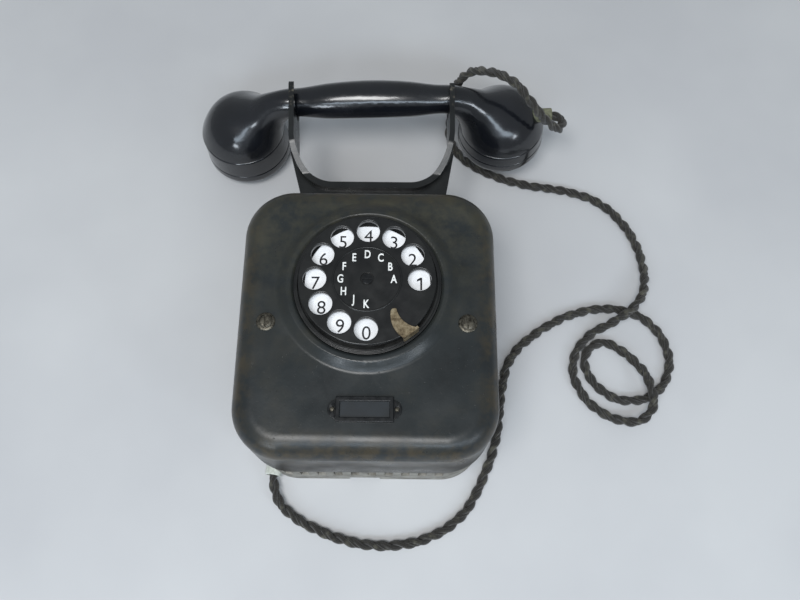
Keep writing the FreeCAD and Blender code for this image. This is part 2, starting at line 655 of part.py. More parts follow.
def dial_train():
    back = number(DIAL_BACK)
    dial_z, fast_z = back + 9.0, back + 5.0
    tooth_thick, pinion_thick = 2.0, 2.8
    mesh = math.radians(size("impulse_angle"))
    dial_teeth, pinion_teeth = int(size("dial_teeth")), int(size("pinion_teeth"))
    wheel = involute_like_gear(size("dial_module"), dial_teeth, size("shaft_wide"), tooth_thick, mesh)
    wheel.translate(DIAL_CENTRE + Vector(0, 0, dial_z))
    solid("dial_gear", wheel)
    pinion = involute_like_gear(size("dial_module"), pinion_teeth, 0.1, pinion_thick,
                                mesh + math.pi + math.pi / pinion_teeth)
    pinion.translate(Vector(0, 0, dial_z - 0.4))
    pinion_root = size("dial_module") * (pinion_teeth / 2 - 1.2)
    core = Part.makeCylinder(pinion_root, pinion_thick, Vector(0, 0, dial_z - 0.4))
    shaft = Part.makeCylinder(size("train_shaft") / 2, 12, Vector(0, 0, back - 1.5))
    cam = Part.makeCylinder(3.2, 1.2, Vector(0, 0, dial_z + 2.6))
    lobe = Part.makeBox(9, 2.4, 1.2, Vector(-4.5, -1.2, dial_z + 2.6))
    neck = Part.makeCylinder(size("train_shaft") / 2, 3, Vector(0, 0, dial_z + 1))
    impulse = pinion.fuse([core, shaft, neck, cam, lobe]).removeSplitter()
    impulse.translate(DIAL_CENTRE + IMPULSE_AT)
    solid("impulse_shaft", impulse)
    toward_governor = math.atan2(GOVERNOR_AT.y - IMPULSE_AT.y, GOVERNOR_AT.x - IMPULSE_AT.x)
    fast_teeth, governor_teeth = int(size("fast_teeth")), int(size("governor_teeth"))
    fast = involute_like_gear(size("fast_module"), fast_teeth, size("train_shaft"), 1.4, toward_governor)
    fast.translate(DIAL_CENTRE + IMPULSE_AT + Vector(0, 0, fast_z))
    solid("impulse_gear", fast)
    worm = involute_like_gear(size("fast_module"), governor_teeth, 0.1, 2.2,
                              toward_governor + math.pi + math.pi / governor_teeth)
    worm.translate(Vector(0, 0, fast_z - 0.4))
    worm_root = size("fast_module") * (governor_teeth / 2 - 1.2)
    worm_core = Part.makeCylinder(worm_root, 2.2, Vector(0, 0, fast_z - 0.4))
    post = Part.makeCylinder(size("train_shaft") / 2 - 0.05, 13, Vector(0, 0, back - 1.5))
    governor = worm.fuse([worm_core, post]).removeSplitter()
    governor.translate(DIAL_CENTRE + GOVERNOR_AT)
    solid("governor_shaft", governor)
    weights = Part.makeBox(11, 3, 2, Vector(-5.5, -1.5, back + 9))
    for side in (-1, 1):
        weights = weights.fuse(Part.makeCylinder(1.6, 2.6, Vector(side * 4.2, 0, back + 9)))
    weights = weights.cut(Part.makeCylinder(size("train_shaft") / 2, 10, Vector(0, 0, back + 5)))
    weights.translate(DIAL_CENTRE + GOVERNOR_AT)
    solid("governor_weights", weights)
    cup_low, cup_tall = number(GEAR_FLOOR), 9.4
    cup = Part.makeCylinder(8.2, cup_tall).cut(Part.makeCylinder(7.2, cup_tall))
    window = Part.makeBox(16, 14, cup_tall, Vector(0, -7, 0.8))
    window.rotate(Vector(0, 0, 0), Vector(0, 0, 1), math.degrees(toward_governor) + 180)
    cup = cup.cut(window)
    cup.translate(DIAL_CENTRE + GOVERNOR_AT + Vector(0, 0, cup_low))
    solid("governor_cup", cup)


def mainspring():
    """A flat spiral of strip round the dial shaft."""
    turns, inner, outer = int(size("spring_turns")), size("spring_inner"), size("spring_outer")
    steps = turns * 24
    edges = []
    for offset in (0, size("spring_strip")):
        points = []
        for index in range(steps + 1):
            share = index / steps
            radius = inner + (outer - inner) * share + offset
            points.append(polar(radius, 360 * turns * share))
        curve = Part.BSplineCurve()
        curve.interpolate(points)
        edges.append(curve)
    first, second = edges
    start = Part.LineSegment(first.StartPoint, second.StartPoint)
    end = Part.LineSegment(first.EndPoint, second.EndPoint)
    wire = Part.Wire(Part.__sortEdges__([edge.toShape() for edge in (first, second, start, end)]))
    ribbon = Part.Face(wire).extrude(Vector(0, 0, size("spring_tall")))
    ribbon.translate(DIAL_CENTRE + Vector(0, 0, number(GEAR_FLOOR) + 0.3))
    solid("mainspring", ribbon)


def impulse_contacts():
    low = number(GEAR_FLOOR)
    edge = 5.5 - size("dial_skirt_bore")
    block = Part.makeBox(7, 6, 11, Vector(edge, -9, low))
    for index in range(3):
        blade = Part.makeBox(0.4, 24, 4, Vector(edge + 0.9 + 1.7 * index, -6, low + 6.2))
        block = block.fuse(blade)
    block.translate(DIAL_CENTRE)
    solid("impulse_contacts", block)


def finger_stop():
    """A worn claw that reaches from the rim over the wheel."""
    turn = size("stop_angle")
    low = number(WHEEL_TOP) + size("stop_gap")
    thick = size("stop_thick")
    rim = size("dial_bore") - size("dial_fit") - RIM_LIP - 0.1
    tip = size("stop_reach")
    middle = (tip + rim) / 2

    def at(out, across):
        return polar(out, turn) + polar(across, turn + 90)

    outer = [Part.Arc(at(rim, -5.0), at(middle, -5.8), at(tip + 0.9, -1.9)).toShape(),
             Part.Arc(at(tip + 0.9, -1.9), at(tip, 0.2), at(tip + 1.3, 1.7)).toShape(),
             Part.Arc(at(tip + 1.3, 1.7), at(middle - 0.8, 0.4), at(rim, 5.0)).toShape(),
             Part.LineSegment(at(rim, 5.0), at(rim, -5.0)).toShape()]
    claw = Part.Face(Part.Wire(outer)).extrude(Vector(0, 0, thick))
    claw.translate(Vector(0, 0, low))
    foot_low = number(DIAL_TOP)
    foot = Part.makeBox(thick, 9.6, low + thick - foot_low, Vector(rim - thick, -4.8, foot_low))
    foot.rotate(Vector(0, 0, 0), Vector(0, 0, 1), turn)
    stop = claw.fuse(foot).removeSplitter()
    stop.translate(DIAL_CENTRE)
    solid("finger_stop", stop)


dial_case()
gear_plate()
finger_wheel()
dial_train()
mainspring()
impulse_contacts()
finger_stop()

# Ringer and circuit

COIL_TOP = "(coil_y + coil_long)"
CLAPPER_Z = 34.0
HUB_WIDE = 8.0


def ringer():
    posts, screws = [], []
    for name, side in (("gong_left", -1), ("gong_right", 1)):
        across = "%d * gong_x" % side
        top = "gong_low + gong_tall"
        keep(name, turned([
            ("gong_wide / 2 - gong_wall", 0), ("gong_wide / 2", 0), ("gong_wide / 2 - 1", "gong_tall * 0.45"),
            ("gong_wide * 0.36", "gong_tall * 0.85"), ("gong_wide * 0.2", "gong_tall"), ("2.2", "gong_tall"),
            ("2.2", "gong_tall - gong_wall"), ("gong_wide * 0.2", "gong_tall - gong_wall"),
            ("gong_wide * 0.36 - gong_wall", "gong_tall * 0.85 - gong_wall"),
            ("gong_wide / 2 - 1 - gong_wall", "gong_tall * 0.45"),
        ], across, "gong_y", "gong_low"))
        post_high = "gong_low + gong_tall - gong_wall - tray_wall"
        post = rod("gong_post_wide", post_high, across, "gong_y", "tray_wall")
        posts.append(cut(post, rod("3.2", "9", across, "gong_y", top + " - 9")))
        screw = join(rod("7", "2", across, "gong_y", top), rod("3", "8", across, "gong_y", top + " - 8"))
        screws.append(cut(screw, box("8", "1", "1", across, "gong_y", top + " + 1.2")))
    keep("gong_posts", group(*posts))
    keep("gong_screws", group(*screws))
    back_high = "coil_high + coil_wide / 2"
    back = box("2 * coil_x + coil_wide", "2.5", back_high, 0, COIL_TOP + " + 1.25", "tray_wall")
    foot = box("2 * coil_x + coil_wide", "14", "2", 0, COIL_TOP + " + 7", "tray_wall")
    foot_y = "(" + COIL_TOP + " + clapper_y) / 2 - 2"
    cross_foot = box("12", COIL_TOP + " - clapper_y + 6", "2", 0, foot_y, "tray_wall")
    pin_rod = rod("clapper_pin", str(CLAPPER_Z + 5), 0, "clapper_y", "tray_wall")
    keep("ringer_frame", join(back, foot, cross_foot, pin_rod))
    coils = []
    for side in (-1, 1):
        coil = lying_rod("coil_wide", "coil_long", "%d * coil_x" % side, "coil_y", "coil_high")
        core = lying_rod("7", "2", "%d * coil_x" % side, "coil_y - 2", "coil_high")
        coils.append(join(coil, core))
    keep("ringer_coils", group(*coils))
    magnet_y = COIL_TOP + " - (coil_long - 4) / 2"
    keep("ringer_magnet", box("6", "coil_long - 4", "14", 0, magnet_y, "coil_high - 7"))


def clapper():
    hub_low = "coil_high - 5"
    hub = rod(str(HUB_WIDE), str(CLAPPER_Z + 3) + " - (" + hub_low + ")", 0, "clapper_y", hub_low)
    bar = box("2 * coil_x + 6", "2.4", "9", 0, "clapper_y", "coil_high - 4.5")
    bore = rod("clapper_pin + 2 * shaft_clear", "60", 0, "clapper_y", 0)
    keep("clapper_armature", cut(join(hub, bar), bore))
    long = "(clapper_y - gong_y - %s / 2)" % HUB_WIDE
    arm = lying_rod("2.4", long + " + 0.3", 0, "gong_y", str(CLAPPER_Z))
    ball = place(bind(doc.addObject("Part::Sphere", "Ball"), Radius=4), 0, "gong_y", str(CLAPPER_Z))
    keep("clapper_arm", cut(join(arm, ball), rod(str(HUB_WIDE), "20", 0, "clapper_y", str(CLAPPER_Z - 10))))


def circuit():
    at = ("capacitor_x", "capacitor_y", "tray_wall")
    can_wide, can_high = "15", "24"
    keep("capacitor", box(can_wide, "44", can_high, *at))
    strap = box(can_wide + " + 4", "8", can_high + " + 1.2", *at)
    keep("capacitor_strap", cut(strap, box(can_wide + " + 0.2", "10", can_high + " + 0.1", *at)))
    reach, end_thick = "34", "2"
    ends = []
    for side in (-1, 1):
        ends.append(box("22", end_thick, "22", "coil_set_x", "coil_set_y + %d * 14" % side, "tray_wall"))
    core = box("7", reach, "7", "coil_set_x", "coil_set_y", "tray_wall + 7.5")
    keep("coil_core", join(core, *ends))
    winding = lying_rod("19", "25.8", "coil_set_x", "coil_set_y - 12.9", "tray_wall + 11")
    keep("coil_winding", cut(winding, box("7.2", "40", "7.2", "coil_set_x", "coil_set_y", "tray_wall + 7.4")))
    block_high = "8"
    block_long = "terminal_pitch * terminal_count + 1"
    block = box("15", block_long, block_high, "terminal_x", "terminal_y", "tray_wall")
    bores, screws = [], []
    count = int(size("terminal_count"))
    for index in range(count):
        along = "terminal_y + terminal_pitch * (%s)" % (index - (count - 1) / 2)
        bores.append(rod("3.2", "6", "terminal_x", along, "tray_wall + 3"))
        head = rod("5.4", "2", "terminal_x", along, "tray_wall + " + block_high)
        shank = rod("3", "4.5", "terminal_x", along, "tray_wall + 3.5")
        slot = box("6", "0.8", "1", "terminal_x", along, "tray_wall + 9.3")
        screws.append(cut(join(head, shank), slot))
    keep("terminal_block", cut(block, *bores))
    keep("terminal_screws", group(*screws))


ringer()
clapper()
circuit()

# Cradle and switch hook

WEB_LOW = "(case_tall / 2 + hook_travel + web_clear)"
OPENING_FLOOR = "(%s + opening_up)" % WEB_LOW
SHOULDER = "(%s + shoulder_up)" % WEB_LOW
FORK_TIP = "(%s + fork_tall)" % WEB_LOW
VALLEY_FLOOR = "(%s + valley_up)" % WEB_LOW
SCREW_ROW = "(%s + cradle_screw_up)" % WEB_LOW
PRONG_FOOT = "(%s + round_tall + 1)" % OPENING_FLOOR
STEM_TOP = "(%s - stem_gap)" % WEB_LOW
WEB_BACK = "(cradle_mid - cradle_plate / 2)"
FLAP_GAP = 0.05
FLAP_BACK = "(cradle_mid - cradle_plate / 2 - flap_thick - %s)" % FLAP_GAP
SCREW_PLAY = 0.1
SCREW_DEPTH = 0.8


def opening_face(half, floor, round_wide, round_tall, top):
    """A U in plan with oval lower corners, closed at the top."""
    edges = [Part.LineSegment(Vector(half, top), Vector(-half, top)).toShape(),
             Part.LineSegment(Vector(round_wide - half, floor), Vector(half - round_wide, floor)).toShape()]
    for side in (-1, 1):
        centre = Vector(side * (half - round_wide), floor + round_tall)
        outside = centre + Vector(side * round_wide, 0)
        corner = Part.Ellipse(centre - Vector(0, round_tall), outside, centre)
        edges.append(corner.toShape(0, math.pi / 2))
        edges.append(Part.LineSegment(outside, Vector(side * half, top)).toShape())
    return Part.Face(Part.Wire(Part.__sortEdges__(edges)))


def cradle_web():
    """The web, and a rim round the opening that deepens toward the two forks."""
    half, floor, mid, deep = size("fork_half"), number(OPENING_FLOOR), size("cradle_mid"), size("fork_deep")
    foot, low, rim = number(PRONG_FOOT), number(WEB_LOW), size("rim_thick")
    wide, tall, thick = size("round_wide"), size("round_tall"), size("fork_thick")
    hollow = opening_face(half, floor, wide, tall, foot)
    around = opening_face(half + thick, floor - rim, wide + thick, tall + rim, foot)
    band = around.cut(hollow).extrude(Vector(0, 0, deep))
    band.translate(Vector(0, 0, mid - deep / 2))
    narrow, shoulder = size("fork_rim_deep") / 2, number(SHOULDER)
    corners = [(low, narrow), (floor + narrow, narrow), (shoulder, deep / 2), (foot, deep / 2)]
    profile = [Vector(-half - wide, y, mid - z) for y, z in corners]
    profile += [Vector(-half - wide, y, mid + z) for y, z in reversed(corners)]
    side = Part.Face(Part.makePolygon(profile + profile[:1])).extrude(Vector(2 * (half + wide), 0, 0))
    sheet_edge = [Vector(-size("web_left"), low), Vector(size("web_right"), low),
                  Vector(half + thick, shoulder), Vector(-half - thick, shoulder)]
    sheet_face = Part.Face(Part.makePolygon(sheet_edge + sheet_edge[:1])).cut(hollow)
    web = sheet_face.extrude(Vector(0, 0, size("cradle_plate")))
    web.translate(Vector(0, 0, number(WEB_BACK)))
    piece = band.common(side).fuse(web)
    row, bore = number(SCREW_ROW), size("cradle_screw_shank") / 2 + SCREW_PLAY
    for turn in (-1, 1):
        at = Vector(turn * size("cradle_screw_x"), row, number(WEB_BACK))
        piece = piece.cut(Part.makeCylinder(bore, size("cradle_plate") * SCREW_DEPTH, at))
    piece = piece.removeSplitter()
    piece.translate(Vector(size("cradle_shift"), 0, 0))
    solid("cradle_web", piece)


def prong(name, side, splay, floor):
    """A fork above the opening, bent outward, with the notch that takes the handle."""
    inner = "%d * (fork_half" % side
    outer = "%d * (fork_half + fork_thick" % side
    corners = [(inner + ")", PRONG_FOOT), (outer + ")", PRONG_FOOT),
               (outer + " + " + splay + ")", FORK_TIP), (inner + " + " + splay + ")", FORK_TIP)]
    slab = plate(corners, "fork_deep", "cradle_mid - fork_deep / 2", "cradle_shift")
    profile = doc.addObject("PartDesign::Body", "ForkSide")
    sketch = new_sketch(profile, "YZ_Plane")
    front, back = "cradle_mid + fork_deep / 2", "cradle_mid - fork_deep / 2"
    outline(sketch, [(PRONG_FOOT, back), (FORK_TIP + " - 3", back), (FORK_TIP, back + " + 1.8"),
                     (FORK_TIP, front + " - 1.8"), (FORK_TIP + " - 3", front), (PRONG_FOOT, front)])
    pad = profile.newObject("PartDesign::Pad", "Pad")
    pad.Profile = sketch
    pad.Midplane = True
    bind(pad, Length="4 * fork_half")
    round_y = floor + " + valley_wide / 2"
    notch_round = lying_rod("valley_wide", "6 * fork_half", "-3 * fork_half", round_y, "cradle_mid", "x")
    notch = box("6 * fork_half", "2 * valley_wide", "valley_wide", 0, floor + " + 1.5 * valley_wide",
                "cradle_mid - valley_wide / 2")
    keep(name, cut(common(slab, profile), notch_round, notch))


def stem():
    """The stem slides through the case; a flap behind the web takes two screws."""
    middle = "(" + STEM_TOP + " + stem_low) / 2"
    bar = box("stem_wide", STEM_TOP + " - stem_low", "cradle_plate", "cradle_shift", middle, WEB_BACK)
    flap_long = "(flap_tall + stem_gap + flap_thick)"
    flap_middle = STEM_TOP + " - flap_thick + " + flap_long + " / 2"
    flap = box("stem_wide", flap_long, "flap_thick", "cradle_shift", flap_middle, FLAP_BACK)
    root_middle = STEM_TOP + " - flap_thick / 2"
    root = box("stem_wide", "flap_thick", "flap_thick + 0.3", "cradle_shift", root_middle, FLAP_BACK)
    spots = ["cradle_shift + %d * cradle_screw_x" % side for side in (-1, 1)]
    bore_wide = "cradle_screw_shank + %s" % (2 * SCREW_PLAY)
    bores = [rod(bore_wide, "4 * flap_thick", x, SCREW_ROW, FLAP_BACK + " - flap_thick") for x in spots]
    keep("cradle_stem", cut(join(bar, flap, root), *bores))
    screws = []
    head_low = FLAP_BACK + " - cradle_head_high"
    for x in spots:
        head = rod("cradle_screw_head", "cradle_head_high", x, SCREW_ROW, head_low)
        shank = rod("cradle_screw_shank", "flap_thick + cradle_plate * 0.7", x, SCREW_ROW, FLAP_BACK)
        slot = box("2 * cradle_screw_head", "slot_wide", "slot_deep", x, SCREW_ROW, head_low)
        screws.append(cut(join(head, shank), slot))
    keep("cradle_screws", group(*screws))


def hook():
    """A bracket guides the stem, a spring pushes its inner end and the contacts stand beside it."""
    high = "(cradle_mid + 6 - tray_wall)"
    guide = box("stem_wide + 12", "3", high, "cradle_shift", "guide_y", "tray_wall")
    window = box("stem_wide + 0.6", "8", "cradle_plate + 0.6", "cradle_shift", "guide_y", WEB_BACK + " - 0.3")
    arch = box("stem_wide - 16", "8", "cradle_mid - 24", "cradle_shift", "guide_y", "tray_wall + 6")
    seat = box("14", "2", high, 0, "spring_seat_y", "tray_wall")
    foot = box("14", "guide_y + 2 - spring_seat_y", "2", 0, "(guide_y + spring_seat_y) / 2", "tray_wall")
    keep("hook_bracket", join(cut(guide, window, arch), seat, foot))
    coil_low, coil_high = size("spring_seat_y") + 1.1, size("stem_low") - 0.2
    wire, turns, radius = 0.9, 6, 3.2
    helix = Part.makeHelix((coil_high - coil_low - wire) / turns, coil_high - coil_low - wire, radius)
    section = Part.Wire(Part.makeCircle(wire / 2, Vector(radius, 0, 0), Vector(0, 1, 0)))
    coil = Part.Wire(helix).makePipeShell([section], True, True)
    coil.rotate(Vector(0, 0, 0), Vector(1, 0, 0), -90)
    coil.translate(Vector(0, coil_low + wire / 2, size("cradle_mid")))
    solid("hook_spring", coil)
    south, mid = size("spring_seat_y") + 2, size("cradle_mid")
    block = Part.makeBox(10, 9, mid - 9, Vector(12, south, size("tray_wall")))
    for index in range(3):
        block = block.fuse(Part.makeBox(5, 18, 0.5, Vector(14.5, south, mid - 12 + 2.4 * index)))
    solid("hook_contacts", block)


cradle_web()
prong("left_prong", -1, "left_splay", "(%s - left_valley_drop)" % VALLEY_FLOOR)
prong("right_prong", 1, "right_splay", VALLEY_FLOOR)
stem()
hook()

# Handset

HAND_MIDDLE = Vector(size("hand_x"), number(VALLEY_FLOOR + " + hand_seat"), number("cradle_mid + hand_lift"))
HAND_PLACE = Placement(HAND_MIDDLE,
                       Rotation(Vector(0, 0, 1), size("hand_swing"))
                       * Rotation(Vector(0, 1, 0), -size("hand_tilt"))
                       * Rotation(Vector(1, 0, 0), -size("hand_roll")))
HEAD_BORE = size("head_wide") / 2 - size("head_wall")
OVAL_STEPS = 8
FAN_STEP = 7.5
# Sections of the bend every FAN_STEP degrees: outer side from the inner corner, and half width.
BEND = [(43.8, 9.8), (44, 9.8), (44.3, 9.8), (44.6, 10), (45, 10.8), (45.4, 12.3), (46.6, 14.2), (49.8, 16.8),
        (55.2, 20.2), (62.3, 24.1), (67.3, 27), (70.6, 28.8), (72.2, 29.5)]
# Where the smooth top ends: places from the head's axis and above the head's widest place.
LEDGE_LINE = [(-45, 33.5), (-33, 31.5), (-25.5, 25), (-19.5, 18.8), (-15, 15.5),
              (-8, 11.8), (0, 10.2), (13, 8.2), (25, 5.8), (36, 4)]


def on_handset(thing, along=0.0):
    for axis in "xyz":
        thing.setExpression("Placement.Base.%s" % axis, None)
    thing.Placement = HAND_PLACE * Placement(Vector(along, 0, 0), Rotation())
    return thing


def half_oval(centre, up, half_high, half_wide):
    """Half of an oval across the handset, from its outer side round +Y to its inner side."""
    turns = [math.pi * step / OVAL_STEPS for step in range(OVAL_STEPS + 1)]
    points = [centre + up * (half_high * math.cos(turn)) + Vector(0, half_wide * math.sin(turn)) for turn in turns]
    points[-1] = centre - up * half_high
    curve = Part.BSplineCurve()
    curve.interpolate(Points=points, Parameters=turns, InitialTangent=Vector(0, half_wide, 0),
                      FinalTangent=Vector(0, -half_wide, 0), Scale=False)
    return Part.Wire(curve.toShape())


def bend_section(side, step, less):
    """A section where the handle bends down into a head, on a plane fanned about the inner corner."""
    neck, high = size("neck_run"), size("neck_high")
    corner = Vector(side * neck, 0, size("dome_low"))
    near_side = size("hand_half") - size("head_wide") / 2 - neck
    turn = math.radians(step * FAN_STEP)
    along, upward = math.sin(turn), math.cos(turn)
    inner = 1 / math.hypot(along / near_side, upward / (-size("dome_low") - high))
    outer, half_wide = BEND[step]
    up = Vector(side * along, 0, upward)
    return half_oval(corner + up * ((outer + inner) / 2), up, (outer - inner) / 2 - less, half_wide - less)


def handset_body(less):
    """The handle and both heads down to their widest place, drawn in by less all round."""
    middle, thin, run = size("grip_thick") / 2, size("grip_thin") / 2, size("grip_run")
    steps = range(len(BEND))
    sections = [bend_section(-1, step, less) for step in reversed(steps)]
    for share in (-0.66, -0.33, 0, 0.33, 0.66):
        along = share * size("neck_run")
        radius = middle - (middle - thin) * (along / run) ** 2 - less
        lift = size("grip_bow") * (1 - share ** 2) ** 2
        sections.append(half_oval(Vector(along, 0, lift), Vector(0, 0, 1), radius, radius))
    sections += [bend_section(1, step, less) for step in steps]
    near = Part.makeLoft(sections, False, False)
    across = (Vector(0, 0, 0), Vector(0, 1, 0))
    faces = near.Faces + near.mirror(*across).Faces
    for section in (sections[0], sections[-1]):
        faces.append(Part.Face(Part.Wire(Part.__sortEdges__(section.Edges + section.mirror(*across).Edges))))
    body = Part.Solid(Part.Shell(faces))
    if body.Volume < 0:
        body.reverse()
    return body


def above_ledge():
    """Everything above the line where the smooth top ends."""
    half, low, wide = size("hand_half"), size("dome_low"), size("head_wide")
    right = [Vector(half + out, -wide, low + up) for out, up in LEDGE_LINE]
    line = [Vector(-point.x, point.y, point.z) for point in reversed(right)] + right
    curve = Part.BSplineCurve()
    curve.interpolate(line)
    top = 2 * wide
    ends = [line[-1], Vector(line[-1].x, -wide, top), Vector(line[0].x, -wide, top), line[0]]
    wire = Part.Wire([curve.toShape()] + Part.makePolygon(ends).Edges)
    return Part.Face(wire).extrude(Vector(0, 2 * wide, 0))


def handset_shell():
    """A smooth top, and a slightly narrower body under its ledge that ends in a collar on each cap."""
    low, wide = size("collar_low"), size("head_wide")
    thread_top = low + size("cap_thread") + 0.5
    above_collar = Part.makeBox(6 * wide, 2 * wide, 2 * wide, Vector(-3 * wide, -wide, low))
    shell = handset_body(0).common(above_ledge()).fuse(handset_body(size("head_step")).common(above_collar))
    for side in (-1, 1):
        at = Vector(side * size("hand_half"), 0, 0)
        bore = Part.makeCylinder(HEAD_BORE, thread_top - low + 1, at + Vector(0, 0, low - 1))
        crown = Part.makeCone(HEAD_BORE * 0.9, HEAD_BORE * 0.5, 10, at + Vector(0, 0, thread_top))
        shell = shell.cut(bore.fuse(crown))
    inlet_start = bush_mouth() - Vector(20, 0, 0)
    inlet = Part.makeCylinder(size("bush_wide") / 2 + 0.1, 20, inlet_start, Vector(1, 0, 0))
    on_handset(solid("handset_shell", shell.cut(inlet).removeSplitter()))


def bush_mouth():
    out = size("hand_half") + size("head_wide") / 2 + size("bush_out")
    return Vector(out, size("bush_side"), size("bush_low"))


def cord_bush():
    start = bush_mouth()
    back = Vector(-1, 0, 0)
    long = size("bush_long")
    sleeve = Part.makeCylinder(size("bush_wide") / 2, long, start, back)
    bore = Part.makeCylinder(size("cord_bore") / 2, 2 * long, start + Vector(1, 0, 0), back)
    on_handset(solid("cord_bush", sleeve.cut(bore)))


def cap(name, side, face, capsule_name):
    outer, thread = "cap_wide / 2", "(head_wide / 2 - head_wall - 0.2)"
    inner = thread + " - 2.5"
    groove = face + " + cap_groove"
    body = turned([
        (0, face + " + 2.4"), (12, face + " + 2.4"), (outer + " - 8", face), (outer + " - 2.6", face),
        (outer + " - 0.7", face + " + 1.1"), (outer, face + " + 3.4"), (outer + " - 0.2", groove + " - 0.4"),
        (outer + " - 0.9", groove), (outer + " - 0.35", groove + " + 0.4"),
        (outer + " - 1.2", "collar_low - 0.8"), (outer + " - 2", "collar_low"), (thread, "collar_low"),
        (thread, "collar_low + cap_thread"), (inner, "collar_low + cap_thread"), (inner, face + " + cap_face"),
        (0, face + " + cap_face"),
    ])
    holes = [rod(3, 12, 8 * math.cos(turn), 8 * math.sin(turn), face + " - 2")
             for turn in (math.radians(60 * index) for index in range(6))]
    holes.append(rod(3, 12, 0, 0, face + " - 2"))
    keep(name, on_handset(cut(body, *holes), side * size("hand_half")))
    capsule = rod("2 * (%s - 0.2)" % inner, "capsule_thick", 0, 0, face + " + cap_face")
    stud = rod(6, 2, 0, 0, face + " + cap_face + capsule_thick")
    keep(capsule_name, on_handset(join(capsule, stud), side * size("hand_half")))


handset_shell()
cord_bush()
cap("ear_cap", -1, "ear_cap_low", "receiver_capsule")
cap("mouth_cap", 1, "mouth_cap_low", "transmitter_capsule")

# Cord

# From the gland over the table, through its two crossings, up behind the handset and over its right head.
CORD_POINTS = [
    (-59.3, -67.65, 8), (-61.5, -84, 8), (-50.5, -100.5, 3.35), (-20.1, -114.5, 3.35), (7.1, -119.1, 3.35),
    (34.8, -115.5, 3.35), (59.1, -101, 3.35), (72.4, -76.5, 3.35), (82, -50.5, 3.35), (84.6, -23.1, 3.35),
    (91, 3.9, 3.35), (112.6, 22.7, 3.35), (136.7, 35.4, 3.35), (165, 39.9, 3.35), (190.6, 29.2, 3.35),
    (201.5, 1.3, 3.35), (187.8, -23.8, 3.35), (159.5, -27.3, 3.35), (141, -8, 3.35), (142.5, 9, 3.35),
    (156.5, 16, 3.35), (171, 4, 9), (181, -11, 16.3), (184, -33, 16.3), (169.5, -43, 8), (143.4, -31.5, 3.35),
    (130.4, -5.1, 3.35), (142.5, 18.5, 4.5), (166, 28, 16.3), (184, 44, 16.3), (188.5, 70.5, 4.5),
    (181.5, 97, 3.35), (163, 120, 3.35), (137, 129.5, 3.35), (110, 132.5, 3.35), (84, 140.5, 3.35),
    (62.5, 154, 3.35), (53, 171.5, 3.35), (54.5, 187.5, 3.35), (55.5, 197.5, 13), (56, 195, 30), (55.5, 186, 49),
    (64.5, 187.5, 66.5), (89.5, 172, 79.5), (104.5, 152.5, 74), (114.8, 149.3, 60),
    (127, 149.2, 49.6), (128.17, 162.24, 50.19), (113.88, 162.04, 49.69),
]
SPLIT_RUN = 37


def cord_edges(points):
    """Straight runs joined by arcs as large as the runs allow; also gives each arc's radius."""
    places = [Vector(*point) for point in points]
    edges, radii = [], []
    start = places[0]
    for index in range(1, len(places) - 1):
        before, here, after = places[index - 1:index + 2]
        arrive, leave = (here - before), (after - here)
        trim = 0.45 * min(arrive.Length, leave.Length)
        arrive.normalize()
        leave.normalize()
        turn = arrive.getAngle(leave)
        radius = trim / math.tan(turn / 2)
        first, last = here - arrive * trim, here + leave * trim
        inward = (leave - arrive).normalize()
        middle = here + inward * (radius / math.cos(turn / 2) - radius)
        edges.append(Part.LineSegment(start, first).toShape())
        edges.append(Part.Arc(first, middle, last).toShape())
        radii.append(radius)
        start = last
    edges.append(Part.LineSegment(start, places[-1]).toShape())
    return edges, radii


def tube(name, edges):
    path = Part.Wire(edges)
    along = edges[0].tangentAt(edges[0].FirstParameter)
    start = edges[0].valueAt(edges[0].FirstParameter)
    section = Part.Wire(Part.makeCircle(size("cord_wide") / 2, start, along))
    shape = path.makePipeShell([section], True, False)
    expected = math.pi * size("cord_wide") ** 2 / 4 * path.Length
    print("%s: length %.1f, volume %.0f of %.0f" % (name, path.Length, shape.Volume, expected))
    solid(name, shape)
    return path.Length


def cord():
    edges, radii = cord_edges(CORD_POINTS)
    print("cord arcs:", " ".join("%.1f" % radius for radius in radii))
    run = edges[2 * SPLIT_RUN]
    first, last = run.valueAt(run.FirstParameter), run.valueAt(run.LastParameter)
    half = (first + last) * 0.5
    laid = edges[:2 * SPLIT_RUN] + [Part.LineSegment(first, half).toShape()]
    raised = [Part.LineSegment(half, last).toShape()] + edges[2 * SPLIT_RUN + 1:]
    length = tube("table_cord", laid) + tube("handset_cord", raised)
    print("cord length %.1f, split at" % length, half)


cord()

# Check and write

doc.removeObject("Probe")
doc.recompute()
for thing in doc.Objects:
    if "Invalid" in thing.State or "Error" in thing.State:
        raise RuntimeError("%s (%s) failed: %s" % (thing.Name, thing.Label, thing.State))
os.makedirs("parts", exist_ok=True)
for name, thing in PARTS.items():
    shape = thing.Shape
    if shape.isNull() or not shape.isValid() or not shape.Solids:
        raise RuntimeError("%s has no sound shape" % name)
for name, thing in PARTS.items():
    thing.Shape.exportStep("parts/%s.step" % name)
print(len(PARTS), "pieces")
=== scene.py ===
# %% [markdown]
# # A wall telephone on its back
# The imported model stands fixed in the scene, one object for each real piece, in metres. This file adds
# what the model leaves plain: finishes, the twisted cord, the printed dial and soft edges. Each piece
# keeps the place that the model gives it, so nothing here is fitted by eye.

# %% Load the frame
import bpy
import json
import math
from mathutils import Matrix, Vector


